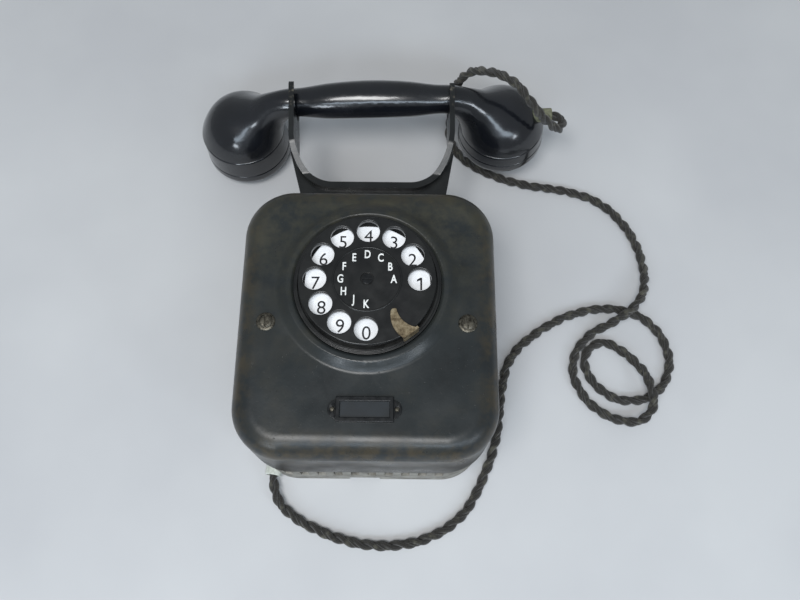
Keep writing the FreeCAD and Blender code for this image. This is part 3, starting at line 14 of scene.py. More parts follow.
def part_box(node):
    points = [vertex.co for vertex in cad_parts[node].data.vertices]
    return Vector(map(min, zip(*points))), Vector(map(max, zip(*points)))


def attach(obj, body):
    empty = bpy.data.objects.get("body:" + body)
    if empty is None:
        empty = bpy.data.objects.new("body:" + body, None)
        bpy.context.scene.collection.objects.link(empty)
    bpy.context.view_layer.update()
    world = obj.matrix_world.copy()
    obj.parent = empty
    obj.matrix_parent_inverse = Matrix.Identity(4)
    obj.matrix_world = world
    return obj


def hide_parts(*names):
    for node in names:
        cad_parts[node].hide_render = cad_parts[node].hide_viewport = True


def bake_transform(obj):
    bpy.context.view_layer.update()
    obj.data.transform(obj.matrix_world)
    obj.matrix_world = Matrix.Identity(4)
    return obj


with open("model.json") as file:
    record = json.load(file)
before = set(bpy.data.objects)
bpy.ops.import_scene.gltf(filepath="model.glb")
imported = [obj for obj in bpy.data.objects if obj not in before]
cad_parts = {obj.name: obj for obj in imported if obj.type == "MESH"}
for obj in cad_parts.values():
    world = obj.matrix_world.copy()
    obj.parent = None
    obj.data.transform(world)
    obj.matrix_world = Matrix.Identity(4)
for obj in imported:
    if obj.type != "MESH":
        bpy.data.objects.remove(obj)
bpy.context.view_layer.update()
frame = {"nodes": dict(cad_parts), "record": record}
nodes = frame["nodes"]
bpy.ops.object.select_all(action="DESELECT")
print("pieces in the model:", len(nodes))

# %% [markdown]
# ## The camera
# The photograph was taken by hand from above the lower edge of the case. A camera could be placed by eye
# until the picture looks right. Here its place, tilt and lens are worked out from the known circles and
# corners of the case, so the render can be laid over the photograph.

# %% Set up the camera
MM = 0.001
PHOTO_WIDTH = 800
FOCAL_PIXELS = 783
SENSOR = 36
CAMERA_PLACE = Vector((18.2, -144.9, 507)) * MM
CAMERA_TILT = math.radians(20.5)
CAMERA_ROLL = math.radians(0.55)
NEAREST_SEEN = 10 * MM

bpy.ops.object.camera_add()
camera = bpy.context.object
camera.data.sensor_width = SENSOR
camera.data.lens = FOCAL_PIXELS / PHOTO_WIDTH * SENSOR
tilt = Matrix.Rotation(CAMERA_TILT, 4, "X") @ Matrix.Rotation(CAMERA_ROLL, 4, "Z")
camera.matrix_world = Matrix.Translation(CAMERA_PLACE) @ tilt
camera.data.clip_start = NEAREST_SEEN
bpy.context.scene.camera = camera
print("lens %.1f mm" % camera.data.lens)

# %% [markdown]
# ## Nodes and colours
# A shader works with linear light, while a colour read from a screen is an sRGB hex value, so one
# function turns the second into the first. The numbers in it are those of the sRGB standard. Another
# small function adds any node, sets it up, fills its sockets and links what is linked.

# %% Colours and nodes
MIX_FACTOR, MIX_A, MIX_B, MIX_OUT = 0, 6, 7, 2


def linear(hex_colour):
    channels = [int(hex_colour[place:place + 2], 16) / 255 for place in (1, 3, 5)]
    return [c / 12.92 if c <= 0.04045 else ((c + 0.055) / 1.055) ** 2.4 for c in channels] + [1]


def add(tree, kind, sockets=None, **settings):
    node = tree.nodes.new(kind)
    for setting, value in settings.items():
        setattr(node, setting, value)
    for socket, value in (sockets or {}).items():
        if isinstance(value, bpy.types.NodeSocket):
            tree.links.new(value, node.inputs[socket])
        else:
            node.inputs[socket].default_value = value
    return node


def finish_called(name, **sockets):
    """A new material; the sockets that are the same all over are set on its shader."""
    material = bpy.data.materials.new(name)
    material.use_nodes = True
    tree = material.node_tree
    shader = tree.nodes["Principled BSDF"]
    for socket, value in sockets.items():
        shader.inputs[socket.replace("_", " ")].default_value = value
    return material, tree, shader


def onto(tree, shader, **sockets):
    """Links what varies over the surface to the shader's own sockets."""
    for socket, value in sockets.items():
        tree.links.new(value, shader.inputs[socket.replace("_", " ")])


print("white in linear light:", linear("#ffffff"))

# %% [markdown]
# ### Patterns of a real size
# Old paint, worn plating and moulded plastic all vary in soft lumps. Noise gives them, as large in
# millimetres as on the real surface. The lumps then become a colour, a rubbed spot or a dent, so four
# short functions serve every finish. A fifth tells how far a point lies along the piece, and a sixth lays
# one colour over another.

# %% Lumps, spots, dents and coats
def grain(tree, size_mm, detail=3, roughness=0.5, stretch=None):
    """Noise with lumps of one real size, read from the object's own coordinates."""
    place = add(tree, "ShaderNodeTexCoord").outputs["Object"]
    if stretch:
        place = add(tree, "ShaderNodeMapping", {"Vector": place, "Scale": stretch}).outputs["Vector"]
    return add(tree, "ShaderNodeTexNoise", {"Vector": place, "Scale": 1 / (size_mm * MM), "Detail": detail,
                                            "Roughness": roughness}).outputs["Fac"]


def mottled(tree, size_mm, *stops, **look):
    """Lumps coloured through stops, each a (share, hex colour)."""
    ramp = add(tree, "ShaderNodeValToRGB", {"Fac": grain(tree, size_mm, **look)})
    marks = ramp.color_ramp.elements
    while len(marks) < len(stops):
        marks.new(0.5)
    for mark, (share, hex_colour) in zip(marks, stops):
        mark.position = share
        mark.color = linear(hex_colour)
    return ramp.outputs["Color"]


def spots(tree, size_mm, low, high, least=0.0, most=1.0, **look):
    """Lumps that give least up to the share low, most from the share high, and a slope between."""
    lumps = grain(tree, size_mm, **look)
    ends = {"From Min": low, "From Max": high, "To Min": least, "To Max": most}
    return add(tree, "ShaderNodeMapRange", {"Value": lumps, **ends}).outputs["Result"]


def dented(tree, shader, size_mm, depth_mm, strength=1.0, **look):
    """Shallow dents of one real size and depth."""
    lumps = grain(tree, size_mm, **look)
    bump = add(tree, "ShaderNodeBump", {"Height": lumps, "Distance": depth_mm * MM, "Strength": strength})
    onto(tree, shader, Normal=bump.outputs["Normal"])


def along(tree, axis, start_mm, end_mm, least=0.0, most=1.0):
    """How far a point lies from one place to another along an axis of the object."""
    where = add(tree, "ShaderNodeSeparateXYZ", {0: add(tree, "ShaderNodeTexCoord").outputs["Object"]})
    ends = {"From Min": start_mm * MM, "From Max": end_mm * MM, "To Min": least, "To Max": most}
    return add(tree, "ShaderNodeMapRange", {"Value": where.outputs[axis], **ends}).outputs["Result"]


def coat(tree, under, mask, strength, hex_colour):
    """One colour over what is under it, as thick as its mask says."""
    thick = add(tree, "ShaderNodeMath", {0: mask, 1: strength}, operation="MULTIPLY").outputs[0]
    return add(tree, "ShaderNodeMix", {MIX_FACTOR: thick, MIX_A: under, MIX_B: linear(hex_colour)},
               data_type="RGBA").outputs[MIX_OUT]


# %% [markdown]
# ## The table and the light
# A plain pale table and a plain studio: one large soft lamp above, a window in front that draws the long
# highlight on the handset, two small low lamps for the bright spots on its heads, and an even sky. A
# picture of a room could light the scene too, but lamps of a known size keep each highlight where the
# photograph has it. They are set so that a colour renders about as it is written.

# %% The table
TABLE_HALF = 3.0

bpy.ops.mesh.primitive_plane_add(size=2 * TABLE_HALF)
table = bpy.context.object
table.name = "table"
paint, tree, shader = finish_called("matt_table_paint", Roughness=0.75)
onto(tree, shader, Base_Color=mottled(tree, 180, (0.35, "#bfc0c2"), (0.65, "#c9cacb"), detail=4))
table.data.materials.append(paint)
print("table %.0f m wide" % (2 * TABLE_HALF))

# %% Lamps and sky
SKY = "#dfe6ec"
SKY_STRENGTH = 0.36


def lamp(name, place_mm, aim_mm, wide_mm, tall_mm, watts, colour="#ffffff"):
    bpy.ops.object.light_add(type="AREA", location=Vector(place_mm) * MM)
    light = bpy.context.object
    light.name = name
    light.data.shape = "RECTANGLE"
    light.data.size = wide_mm * MM
    light.data.size_y = tall_mm * MM
    light.data.energy = watts
    light.data.color = linear(colour)[:3]
    toward = Vector(aim_mm) * MM - light.location
    light.rotation_euler = toward.to_track_quat("-Z", "Y").to_euler()
    print(name, "%.1f m away, %s W" % (toward.length, watts))


lamp("ceiling_light", (-190, -440, 1450), (0, 40, 60), 700, 420, 13)
lamp("window_light", (60, -980, 1090), (0, 160, 60), 1500, 240, 7.5, "#d6e6f5")
lamp("left_low_light", (-450, -870, 530), (-92, 163, 30), 200, 200, 1.7, "#e4eef8")
lamp("right_low_light", (730, -670, 620), (90, 163, 36), 200, 200, 1.7, "#e4eef8")

world = bpy.data.worlds.new("studio")
world.use_nodes = True
world.node_tree.nodes["Background"].inputs["Color"].default_value = linear(SKY)
world.node_tree.nodes["Background"].inputs["Strength"].default_value = SKY_STRENGTH
bpy.context.scene.world = world
bpy.context.scene.view_settings.view_transform = "Standard"

# %% [markdown]
# ## The twisted cord
# The real cord is three cotton-braided wires laid up like rope, limp from decades of use. Two are stout
# and draw the lobes of its outline, and the third lies thin in the groove between them. Its route repeats
# the points of the model: out of the gland, round the table with two crossings, up behind the handset and
# over its right head to a rubber bush. Straight runs with round bends would do for a cable in a duct. A
# cord that lies loose never stops bending, so one smooth spline runs through the points.

# %% The cord's route
CORD_POINTS = [
    (-59.3, -67.65, 8), (-61.5, -84, 8), (-50.5, -100.5, 3.35), (-20.1, -114.5, 3.35), (7.1, -119.1, 3.35),
    (34.8, -115.5, 3.35), (59.1, -101, 3.35), (72.4, -76.5, 3.35), (82, -50.5, 3.35), (84.6, -23.1, 3.35),
    (91, 3.9, 3.35), (112.6, 22.7, 3.35), (136.7, 35.4, 3.35), (165, 39.9, 3.35), (190.6, 29.2, 3.35),
    (201.5, 1.3, 3.35), (187.8, -23.8, 3.35), (159.5, -27.3, 3.35), (141, -8, 3.35), (142.5, 9, 3.35),
    (156.5, 16, 3.35), (171, 4, 7), (181, -11, 11.5), (184, -33, 11.5), (169.5, -43, 6),
    (143.4, -31.5, 3.35), (130.4, -5.1, 3.35), (142.5, 18.5, 3.9), (166, 28, 11.5), (184, 44, 11.5),
    (188.5, 70.5, 3.9),
    (181.5, 97, 3.35), (163, 120, 3.35), (137, 129.5, 3.35), (110, 132.5, 3.35), (84, 140.5, 3.35),
    (62.5, 154, 3.35), (53, 171.5, 3.35), (54.5, 187.5, 3.35), (55.5, 197.5, 13), (56, 195, 30),
    (55.5, 186, 49), (64.5, 187.5, 66.5), (89.5, 172, 79.5), (104.5, 152.5, 74), (114.8, 149.3, 60),
    (127, 149.2, 49.6), (128.17, 162.24, 50.19), (113.88, 162.04, 49.69),
]
SPLIT_AT = Vector((53.8, 180, 3.35)) * MM
CORD_WIDE = 6.5 * MM
STATION = 1.3 * MM
SPLINE_ORDER = 3
SPLINE_STEPS = 24


def smooth_line(points):
    curve = bpy.data.curves.new("route", "CURVE")
    curve.dimensions = "3D"
    spline = curve.splines.new("NURBS")
    spline.points.add(len(points) - 1)
    for point, place in zip(spline.points, points):
        point.co = (*(Vector(place) * MM), 1)
    spline.order_u = SPLINE_ORDER
    spline.use_endpoint_u = True
    spline.resolution_u = SPLINE_STEPS
    carrier = bpy.data.objects.new("route", curve)
    bpy.context.collection.objects.link(carrier)
    mesh = bpy.data.meshes.new_from_object(carrier)
    line = [vertex.co.copy() for vertex in mesh.vertices]
    bpy.data.objects.remove(carrier)
    bpy.data.meshes.remove(mesh)
    return line


def evenly(line, spacing):
    """Walks along a line and marks it at even steps."""
    total = run_length(line)
    step = total / round(total / spacing)
    marks, walked, target = [line[0]], 0.0, step
    for a, b in zip(line, line[1:]):
        run = (b - a).length
        while walked + run >= target and len(marks) < round(total / step):
            marks.append(a.lerp(b, (target - walked) / run))
            target += step
        walked += run
    marks.append(line[-1])
    return marks


def run_length(line):
    return sum((b - a).length for a, b in zip(line, line[1:]))


smooth_route = smooth_line(CORD_POINTS)
route = evenly(smooth_route, STATION)
split = min(range(len(route)), key=lambda index: (route[index] - SPLIT_AT).length)
print("cord %.0f mm long" % (run_length(smooth_route) / MM))
print("split after %d of %d stations" % (split, len(route)))

# %% [markdown]
# ### Laying up the three wires
# Each wire is a round tube that circles the route once in every 18 mm. The frame that carries it along is
# turned as little as possible from station to station, so the twist stays even through the bends. A bump
# pattern on one plain tube could draw the twist, but its outline would stay straight, and the lobes show
# against the pale table. Each wire's UV map runs in millimetres, along and around the wire, for the
# braid.

# %% Where each wire runs
LAY = 18 * MM
STOUT = CORD_WIDE / 4
THIN = 0.85 * MM
GROOVE = math.sqrt((STOUT + THIN) ** 2 - STOUT ** 2)
WIRES = ((0, STOUT, STOUT), (math.pi, STOUT, STOUT), (math.pi / 2, GROOVE, THIN))


def carried_frames(line):
    """Two directions across the line at each station, turned as little as possible from the last two."""
    tangents = [(b - a).normalized() for a, b in zip(line, line[1:])]
    tangents.append(tangents[-1])
    side = tangents[0].orthogonal().normalized()
    frames = []
    for index, tangent in enumerate(tangents):
        if index:
            side = tangents[index - 1].rotation_difference(tangent) @ side
        side = (side - tangent * side.dot(tangent)).normalized()
        frames.append((side, tangent.cross(side)))
    return frames


def wire_centres(line, frames, phase, out):
    centres, walked = [], 0.0
    for index, (place, (side, other)) in enumerate(zip(line, frames)):
        if index:
            walked += (place - line[index - 1]).length
        turn = phase + 2 * math.pi * walked / LAY
        centres.append(place + (side * math.cos(turn) + other * math.sin(turn)) * out)
    return centres


route_frames = carried_frames(route)
all_wires = [wire_centres(route, route_frames, phase, out) for phase, out, _ in WIRES]
print("wires:", len(all_wires), "with a lay of %.0f mm" % (LAY / MM))

# %% A tube round each wire
WIRE_SIDES = 10


def wire_tube(centres, radius, points, faces, uvs):
    frames = carried_frames(centres)
    first = len(points)
    walked = 0.0
    lengths = []
    for index, (centre, (side, other)) in enumerate(zip(centres, frames)):
        walked += (centre - centres[index - 1]).length if index else 0
        lengths.append(walked)
        for corner in range(WIRE_SIDES):
            turn = 2 * math.pi * corner / WIRE_SIDES
            points.append(centre + (side * math.cos(turn) + other * math.sin(turn)) * radius)
    around = 2 * math.pi * radius / WIRE_SIDES
    for ring in range(len(centres) - 1):
        for corner in range(WIRE_SIDES):
            after = (corner + 1) % WIRE_SIDES
            low, high = first + ring * WIRE_SIDES, first + (ring + 1) * WIRE_SIDES
            faces.append((low + corner, low + after, high + after, high + corner))
            near, far = lengths[ring] / MM, lengths[ring + 1] / MM
            left, right = corner * around / MM, (corner + 1) * around / MM
            uvs += [(near, left), (near, right), (far, right), (far, left)]
    last = first + (len(centres) - 1) * WIRE_SIDES
    for ring, order in ((first, -1), (last, 1)):
        faces.append([ring + corner for corner in range(WIRE_SIDES)][::order])
        uvs += [(0, 0)] * WIRE_SIDES


def twisted(name, wires):
    points, faces, uvs = [], [], []
    for centres, (_, _, radius) in zip(wires, WIRES):
        wire_tube(centres, radius, points, faces, uvs)
    mesh = bpy.data.meshes.new(name)
    mesh.from_pydata(points, [], faces)
    layer = mesh.uv_layers.new(name="along_the_wire")
    for loop, uv in zip(layer.data, uvs):
        loop.uv = uv
    mesh.polygons.foreach_set("use_smooth", [True] * len(mesh.polygons))
    piece = bpy.data.objects.new(name, mesh)
    bpy.context.collection.objects.link(piece)
    print(name, "has", len(faces), "faces")
    return piece


laid_cord = twisted("laid_cord", [wire[:split + 1] for wire in all_wires])
raised_cord = twisted("raised_cord", [wire[split:] for wire in all_wires])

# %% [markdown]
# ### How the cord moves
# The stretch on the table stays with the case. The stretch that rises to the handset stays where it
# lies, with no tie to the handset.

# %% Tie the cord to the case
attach(laid_cord, "root")
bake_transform(raised_cord)
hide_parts("table_cord")
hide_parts("handset_cord")
print("on the table %.0f mm" % (run_length(route[:split + 1]) / MM))

# %% [markdown]
# ### Cotton braid
# Cotton yarn braided over rubber: dull, dark brown, with paler threads where hands have worn it. The
# braid's two spirals come from the wire's own UV map, one cell every 0.9 mm, so they follow every bend.
# That is a little coarser than the real yarn, which would be too fine to show.

# %% Braid
BRAID_CELL = 0.9
BRAID_DEEP = 0.35 * MM
TURNS_PER_MM = math.pi / BRAID_CELL

braid, tree, shader = finish_called("cotton_braid", Roughness=0.88, Sheen_Weight=0.25, Sheen_Roughness=0.6,
                                    Specular_IOR_Level=0.25)
uv_map = add(tree, "ShaderNodeUVMap", uv_map="along_the_wire").outputs["UV"]
on_wire = add(tree, "ShaderNodeSeparateXYZ", {0: uv_map}).outputs
waves = []
for way in ("ADD", "SUBTRACT"):
    slant = add(tree, "ShaderNodeMath", {0: on_wire["X"], 1: on_wire["Y"]}, operation=way).outputs[0]
    turned = add(tree, "ShaderNodeMath", {0: slant, 1: TURNS_PER_MM}, operation="MULTIPLY").outputs[0]
    waves.append(add(tree, "ShaderNodeMath", {0: turned}, operation="SINE").outputs[0])
crossed = add(tree, "ShaderNodeMath", {0: waves[0], 1: waves[1]}, operation="MULTIPLY").outputs[0]
weave = add(tree, "ShaderNodeMapRange", {"Value": crossed, "From Min": -1, "From Max": 1}).outputs["Result"]
yarn = add(tree, "ShaderNodeMix", {MIX_FACTOR: weave, MIX_A: linear("#0f0e0c"), MIX_B: linear("#2f2c26")},
           data_type="RGBA").outputs[MIX_OUT]
worn = spots(tree, 5, 0.54, 0.76, detail=4)
raised = add(tree, "ShaderNodeBump", {"Height": weave, "Distance": BRAID_DEEP, "Strength": 1})
onto(tree, shader, Base_Color=coat(tree, yarn, worn, 1, "#5a584c"), Normal=raised.outputs["Normal"])
for cord in (laid_cord, raised_cord):
    cord.data.materials.append(braid)
print("braid: a cell every %.1f mm" % BRAID_CELL)

# %% [markdown]
# ## Soft edges
# A pressed, cast or turned edge is never knife sharp, and a thin highlight along it is what makes it look
# real. Rounding every edge in the model would make it heavy, so each visible piece is copied and welded
# here, and a bevel of the real size rounds its sharp edges. Weighted normals then keep the shading of the
# flat faces flat. The copy stands for the model's piece, which stays in place for the physics.

# %% A welded copy with softened edges
WELD = 0.004 * MM
SHARP = 32
BODIES = frame["record"]["behaviour"]["bodies"]
BODY_OF = {node: body for body, members in BODIES.items() for node in members}


def only(piece):
    bpy.ops.object.select_all(action="DESELECT")
    piece.select_set(True)
    bpy.context.view_layer.objects.active = piece


def weld(piece):
    only(piece)
    bpy.ops.object.mode_set(mode="EDIT")
    bpy.ops.mesh.select_all(action="SELECT")
    bpy.ops.mesh.remove_doubles(threshold=WELD)
    bpy.ops.object.mode_set(mode="OBJECT")


def copied(node):
    piece = bpy.data.objects.new(node + "_finished", nodes[node].data.copy())
    bpy.context.collection.objects.link(piece)
    piece.data.materials.clear()
    weld(piece)
    return piece


def stands_for(piece, slot, *replaced):
    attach(piece, BODY_OF[replaced[0]])
    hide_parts(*replaced)
    return piece


def round_edges(piece, edge_mm, sharp=SHARP, segments=2):
    """Bevels the edges that turn by more than the angle sharp, in degrees."""
    only(piece)
    if edge_mm:
        bevel = piece.modifiers.new("soft_edges", "BEVEL")
        bevel.width = edge_mm * MM
        bevel.segments = segments
        bevel.limit_method = "ANGLE"
        bevel.angle_limit = math.radians(sharp)
        bpy.ops.object.modifier_apply(modifier=bevel.name)
    bpy.ops.object.shade_smooth_by_angle(angle=math.radians(sharp))
    flat = piece.modifiers.new("flat_faces_stay_flat", "WEIGHTED_NORMAL")
    flat.keep_sharp = True
    bpy.ops.object.modifier_apply(modifier=flat.name)


def softened(node, edge_mm, slot, sharp=SHARP):
    piece = copied(node)
    round_edges(piece, edge_mm, sharp)
    return stands_for(piece, slot, node)


def wear(material, *pieces):
    for piece in pieces:
        piece.data.materials.append(material)


print("bodies that the copies ride:", sorted(set(BODY_OF.values())))

# %% [markdown]
# ## The case
# The cover is deep-drawn sheet steel under stoved black paint. Seventy years have dulled the paint to
# olive brown over the top and along the rounded edges, left pits and rubs, and kept a smoother sheen on
# the lower front. Wear could be painted on by hand. Here it is built in layers that know where they lie,
# as dirt and hands work: rubs gather on the rim and dust on the top end. Painted shade darkens the side
# walls low down, near the table.

# %% Case paint, layer by layer
RIM_RUB_STARTS, RIM_RUB_FULL = 0.8, 0.97
DUST_STARTS, DUST_FULL = -20, 75
WALL_SHADE_STARTS, WALL_SHADE_FULL = 84, 66
PEEL_DEEP = 0.05 * MM
PIT_DEEP = -1.2
DUST_DULLS = 0.16

front_cover = softened("front_cover", 0.25, "case_enamel")
case_half = [size / 2 for size in (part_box("front_cover")[1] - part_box("front_cover")[0])]

stoved, tree, shader = finish_called("stoved_black_paint")
where = add(tree, "ShaderNodeSeparateXYZ", {0: add(tree, "ShaderNodeTexCoord").outputs["Object"]}).outputs
reach = []
for axis, half in zip("XY", case_half):
    away = add(tree, "ShaderNodeMath", {0: where[axis]}, operation="ABSOLUTE").outputs[0]
    reach.append(add(tree, "ShaderNodeMath", {0: away, 1: half}, operation="DIVIDE").outputs[0])
to_rim = add(tree, "ShaderNodeMath", {0: reach[0], 1: reach[1]}, operation="MAXIMUM").outputs[0]
at_rim = add(tree, "ShaderNodeMapRange", {"Value": to_rim, "From Min": RIM_RUB_STARTS,
                                          "From Max": RIM_RUB_FULL}).outputs["Result"]
rubs = spots(tree, 9, 0.42, 0.6, detail=5, roughness=0.65)
rubbed = add(tree, "ShaderNodeMath", {0: at_rim, 1: rubs}, operation="MULTIPLY").outputs[0]
specks = spots(tree, 14, 0.38, 0.62, detail=5, roughness=0.7)
dusty = add(tree, "ShaderNodeMath", {0: along(tree, "Y", DUST_STARTS, DUST_FULL), 1: specks},
            operation="MULTIPLY").outputs[0]
pits = spots(tree, 1.6, 0.66, 0.72, roughness=0.7)
# Painted shade: the side walls darken towards the table, where little light reaches them.
painted_wall_shade = along(tree, "Z", WALL_SHADE_STARTS, WALL_SHADE_FULL)

colour = mottled(tree, 34, (0.3, "#1d2021"), (0.5, "#262a2b"), (0.72, "#32322e"), detail=5, roughness=0.6)
# The third layer, near black low on the walls, is painted shade, not dirt.
layers = (rubbed, 0.75, "#443c2d"), (dusty, 0.5, "#484534"), (painted_wall_shade, 0.75, "#14120e"), (pits, 0.6, "#17150f")
for mask, strength, hex_colour in layers:
    colour = coat(tree, colour, mask, strength, hex_colour)
print("case %.0f x %.0f mm" % tuple(2 * half / MM for half in case_half[:2]))

# %% Case sheen and surface
shine = along(tree, "Z", WALL_SHADE_FULL, WALL_SHADE_STARTS, 0.15, 0.42)
dull = spots(tree, 20, 0.3, 0.7, 0.24, 0.4, detail=4)
dusted = add(tree, "ShaderNodeMath", {0: dusty, 1: DUST_DULLS, 2: dull},
             operation="MULTIPLY_ADD").outputs[0]
peel = add(tree, "ShaderNodeMath", {0: pits, 1: PIT_DEEP, 2: grain(tree, 2.2, detail=2)},
           operation="MULTIPLY_ADD").outputs[0]
orange_peel = add(tree, "ShaderNodeBump", {"Height": peel, "Distance": PEEL_DEEP, "Strength": 0.8})
onto(tree, shader, Base_Color=colour, Specular_IOR_Level=shine, Roughness=dusted,
     Normal=orange_peel.outputs["Normal"])
wear(stoved, front_cover)
print("case paint has", len(tree.nodes), "nodes")

# %% [markdown]
# ## The base tray
# The tray behind the cover is plain pressed steel in a warm grey paint, with the sound slots punched in
# its lower side. It is stained where hands and dust reach it, so one blotchy noise runs from brown to
# pale grey.

# %% Tray paint
base_tray = softened("base_tray", 0.2, "tray_paint")
tray_paint, tree, shader = finish_called("grey_tray_paint", Roughness=0.55)
stains = mottled(tree, 11, (0.3, "#4f4b42"), (0.5, "#85827a"), (0.7, "#a09d94"), detail=5, roughness=0.65)
onto(tree, shader, Base_Color=stains)
dented(tree, shader, 1.5, 0.04)
wear(tray_paint, base_tray)
print("tray faces:", len(base_tray.data.polygons))

# %% [markdown]
# ## Bakelite
# The handset is compression-moulded phenolic: nearly black and deeply glossy, with hairline scratches and
# a faint cloudiness in the surface. One even gloss would look like new plastic, so smears vary the
# roughness and break up the reflections.

# %% Handset
handset_shell = softened("handset_shell", 0.3, "bakelite", sharp=40)
caps = [softened(name, 0.35, "bakelite") for name in ("ear_cap", "mouth_cap")]

bakelite, tree, shader = finish_called("polished_bakelite", IOR=1.58, Coat_Weight=0.3, Coat_Roughness=0.06)
smears = spots(tree, 12, 0.35, 0.7, 0.14, 0.3, detail=5, roughness=0.6, stretch=(0.4, 1, 1))
onto(tree, shader, Base_Color=mottled(tree, 26, (0.35, "#0e1014"), (0.68, "#17191e"), detail=4),
     Roughness=smears)
dented(tree, shader, 2.5, 0.02, 0.5, detail=2, stretch=(0.15, 1, 1))
wear(bakelite, handset_shell, *caps)
print("bakelite pieces:", 1 + len(caps))

# %% [markdown]
# ## The dial
# A black dial case frames a white enamelled number plate. The finger wheel over it is a satin black disc
# with ten holes, and a glossy letter disc sits in its middle under a thin ring. Lacquer on turned metal
# is finer than the case paint, so its dents are smaller and shallower.

# %% Dial lacquer
dial_case = softened("dial_case", 0.2, "bakelite")
finger_wheel = softened("finger_wheel", 0.25, "wheel_paint")
letter_disc = softened("letter_disc", 0.1, "bakelite")
hub_ring = softened("hub_ring", 0.12, "worn_steel")
hub_screw = softened("hub_screw", 0.15, "worn_steel")
number_plate = softened("number_plate", 0.1, "plate_enamel")

lacquer, tree, shader = finish_called("black_dial_lacquer", Coat_Weight=0.2, Coat_Roughness=0.2)
onto(tree, shader, Base_Color=mottled(tree, 12, (0.35, "#0c0d0e"), (0.7, "#181918"), detail=4),
     Roughness=spots(tree, 7, 0.3, 0.7, 0.26, 0.46, detail=5))
dented(tree, shader, 0.9, 0.015)
wear(lacquer, dial_case, finger_wheel, letter_disc, hub_ring)
print("over the plate:", finger_wheel.name, letter_disc.name)

# %% [markdown]
# ### The white plate
# Vitreous enamel fired on steel: white glass, smooth and bright. The lamps here are plainer than
# daylight and the finger wheel shades the plate, so a faint painted glow of its own lifts it to the white
# of the photograph.

# %% Plate enamel
# The emission is painted light: a glow that stands in for the light the finger wheel shades off the plate.
glowing_enamel, tree, shader = finish_called("white_enamel_painted_glow", Roughness=0.22, Coat_Weight=0.5, Coat_Roughness=0.08,
                                     Emission_Color=linear("#f2f6fa"), Emission_Strength=0.22)
onto(tree, shader, Base_Color=mottled(tree, 9, (0.3, "#e6e8ea"), (0.6, "#f6f8fb"), detail=4))
wear(glowing_enamel, number_plate)
print("white plate under", finger_wheel.name)

# %% [markdown]
# ### Numbers and letters
# The digits are printed thin and upright on the plate, one under each finger hole. The plain letters on
# the disc follow the same ten directions. A picture of them would blur close up, so both are thin raised
# text turned into mesh, which stays sharp.

# %% One printed mark
CAPITAL_SHARE = 0.73
INK = 0.06 * MM
FLAG_OUT, FLAG_DROP = 0.24, 0.26
FLAG_ROOT, FLAG_OVER, FLAG_UNDER = 1.5, 0.8, 0.2


def flag_of_one(letter, tall):
    """The plain font draws its 1 as a bar, so a slanted flag is added at the bar's top."""
    corners = [vertex.co for vertex in letter.data.vertices]
    left, right = min(c.x for c in corners), max(c.x for c in corners)
    top, low, high = max(c.y for c in corners), min(c.z for c in corners), max(c.z for c in corners)
    thick = right - left
    tip, tip_at = left - FLAG_OUT * tall, top - FLAG_DROP * tall
    outline = [(left, top), (left, top - FLAG_ROOT * thick), (tip, tip_at - FLAG_UNDER * thick),
               (tip, tip_at + FLAG_OVER * thick)]
    points = [(x, y, high) for x, y in outline] + [(x, y, low) for x, y in outline]
    count = len(outline)
    faces = [tuple(range(count))[::-1], tuple(range(count, 2 * count))]
    for place in range(count):
        after = (place + 1) % count
        faces.append((place, after, after + count, place + count))
    mesh = bpy.data.meshes.new("flag")
    mesh.from_pydata(points, [], faces)
    flag = bpy.data.objects.new("flag", mesh)
    bpy.context.collection.objects.link(flag)
    only(letter)
    flag.select_set(True)
    bpy.ops.object.join()


def mark(text, angle, circle, high, tall_mm, weight, narrow):
    bpy.ops.object.text_add()
    letter = bpy.context.object
    letter.data.body = text
    letter.data.align_x = "CENTER"
    letter.data.align_y = "CENTER"
    letter.data.size = tall_mm * MM / CAPITAL_SHARE
    letter.data.offset = weight
    letter.data.extrude = INK / 2
    only(letter)
    bpy.ops.object.convert(target="MESH")
    if text == "1":
        flag_of_one(letter, tall_mm * MM)
    spans = list(zip(*(vertex.co for vertex in letter.data.vertices)))
    middle = Vector([(min(span) + max(span)) / 2 for span in spans])
    turn = math.radians(angle)
    across, up = DIAL_CENTRE.x + circle * math.cos(turn), DIAL_CENTRE.y + circle * math.sin(turn)
    place = Vector((across, up, high + INK / 2))
    narrowed = Matrix.Scale(narrow, 4, (1, 0, 0))
    letter.data.transform(Matrix.Translation(place) @ narrowed @ Matrix.Translation(-middle))
    return letter


print("marks stand %.2f mm high" % (INK / MM))

# %% All the marks
DIAL_CENTRE = (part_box("finger_wheel")[0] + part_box("finger_wheel")[1]) / 2
PLATE_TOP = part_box("number_plate")[1].z
DISC_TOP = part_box("letter_disc")[1].z
DIGITS = "1234567890"
LETTERS = "ABCDEFGHJK"
HOLE_PITCH = 30
DIGIT_CIRCLE, DIGIT_TALL, DIGIT_WEIGHT, DIGIT_NARROW = 29 * MM, 8, 0.0, 0.98
LETTER_CIRCLE, LETTER_TALL, LETTER_WEIGHT, LETTER_NARROW = 14.7 * MM, 4.9, 0.14 * MM, 0.72


def joined(name, pieces, body):
    only(pieces[0])
    for piece in pieces:
        piece.select_set(True)
    bpy.ops.object.join()
    whole = bpy.context.object
    whole.name = name
    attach(whole, body)
    print(name, "has", len(pieces), "marks")
    return whole


digits = [mark(text, HOLE_PITCH * place, DIGIT_CIRCLE, PLATE_TOP, DIGIT_TALL, DIGIT_WEIGHT, DIGIT_NARROW)
          for place, text in enumerate(DIGITS)]
plate_digits = joined("plate_digits", digits, "root")
letters = [mark(text, HOLE_PITCH * place, LETTER_CIRCLE, DISC_TOP, LETTER_TALL, LETTER_WEIGHT, LETTER_NARROW)
           for place, text in enumerate(LETTERS)]
disc_letters = joined("disc_letters", letters, "dial")

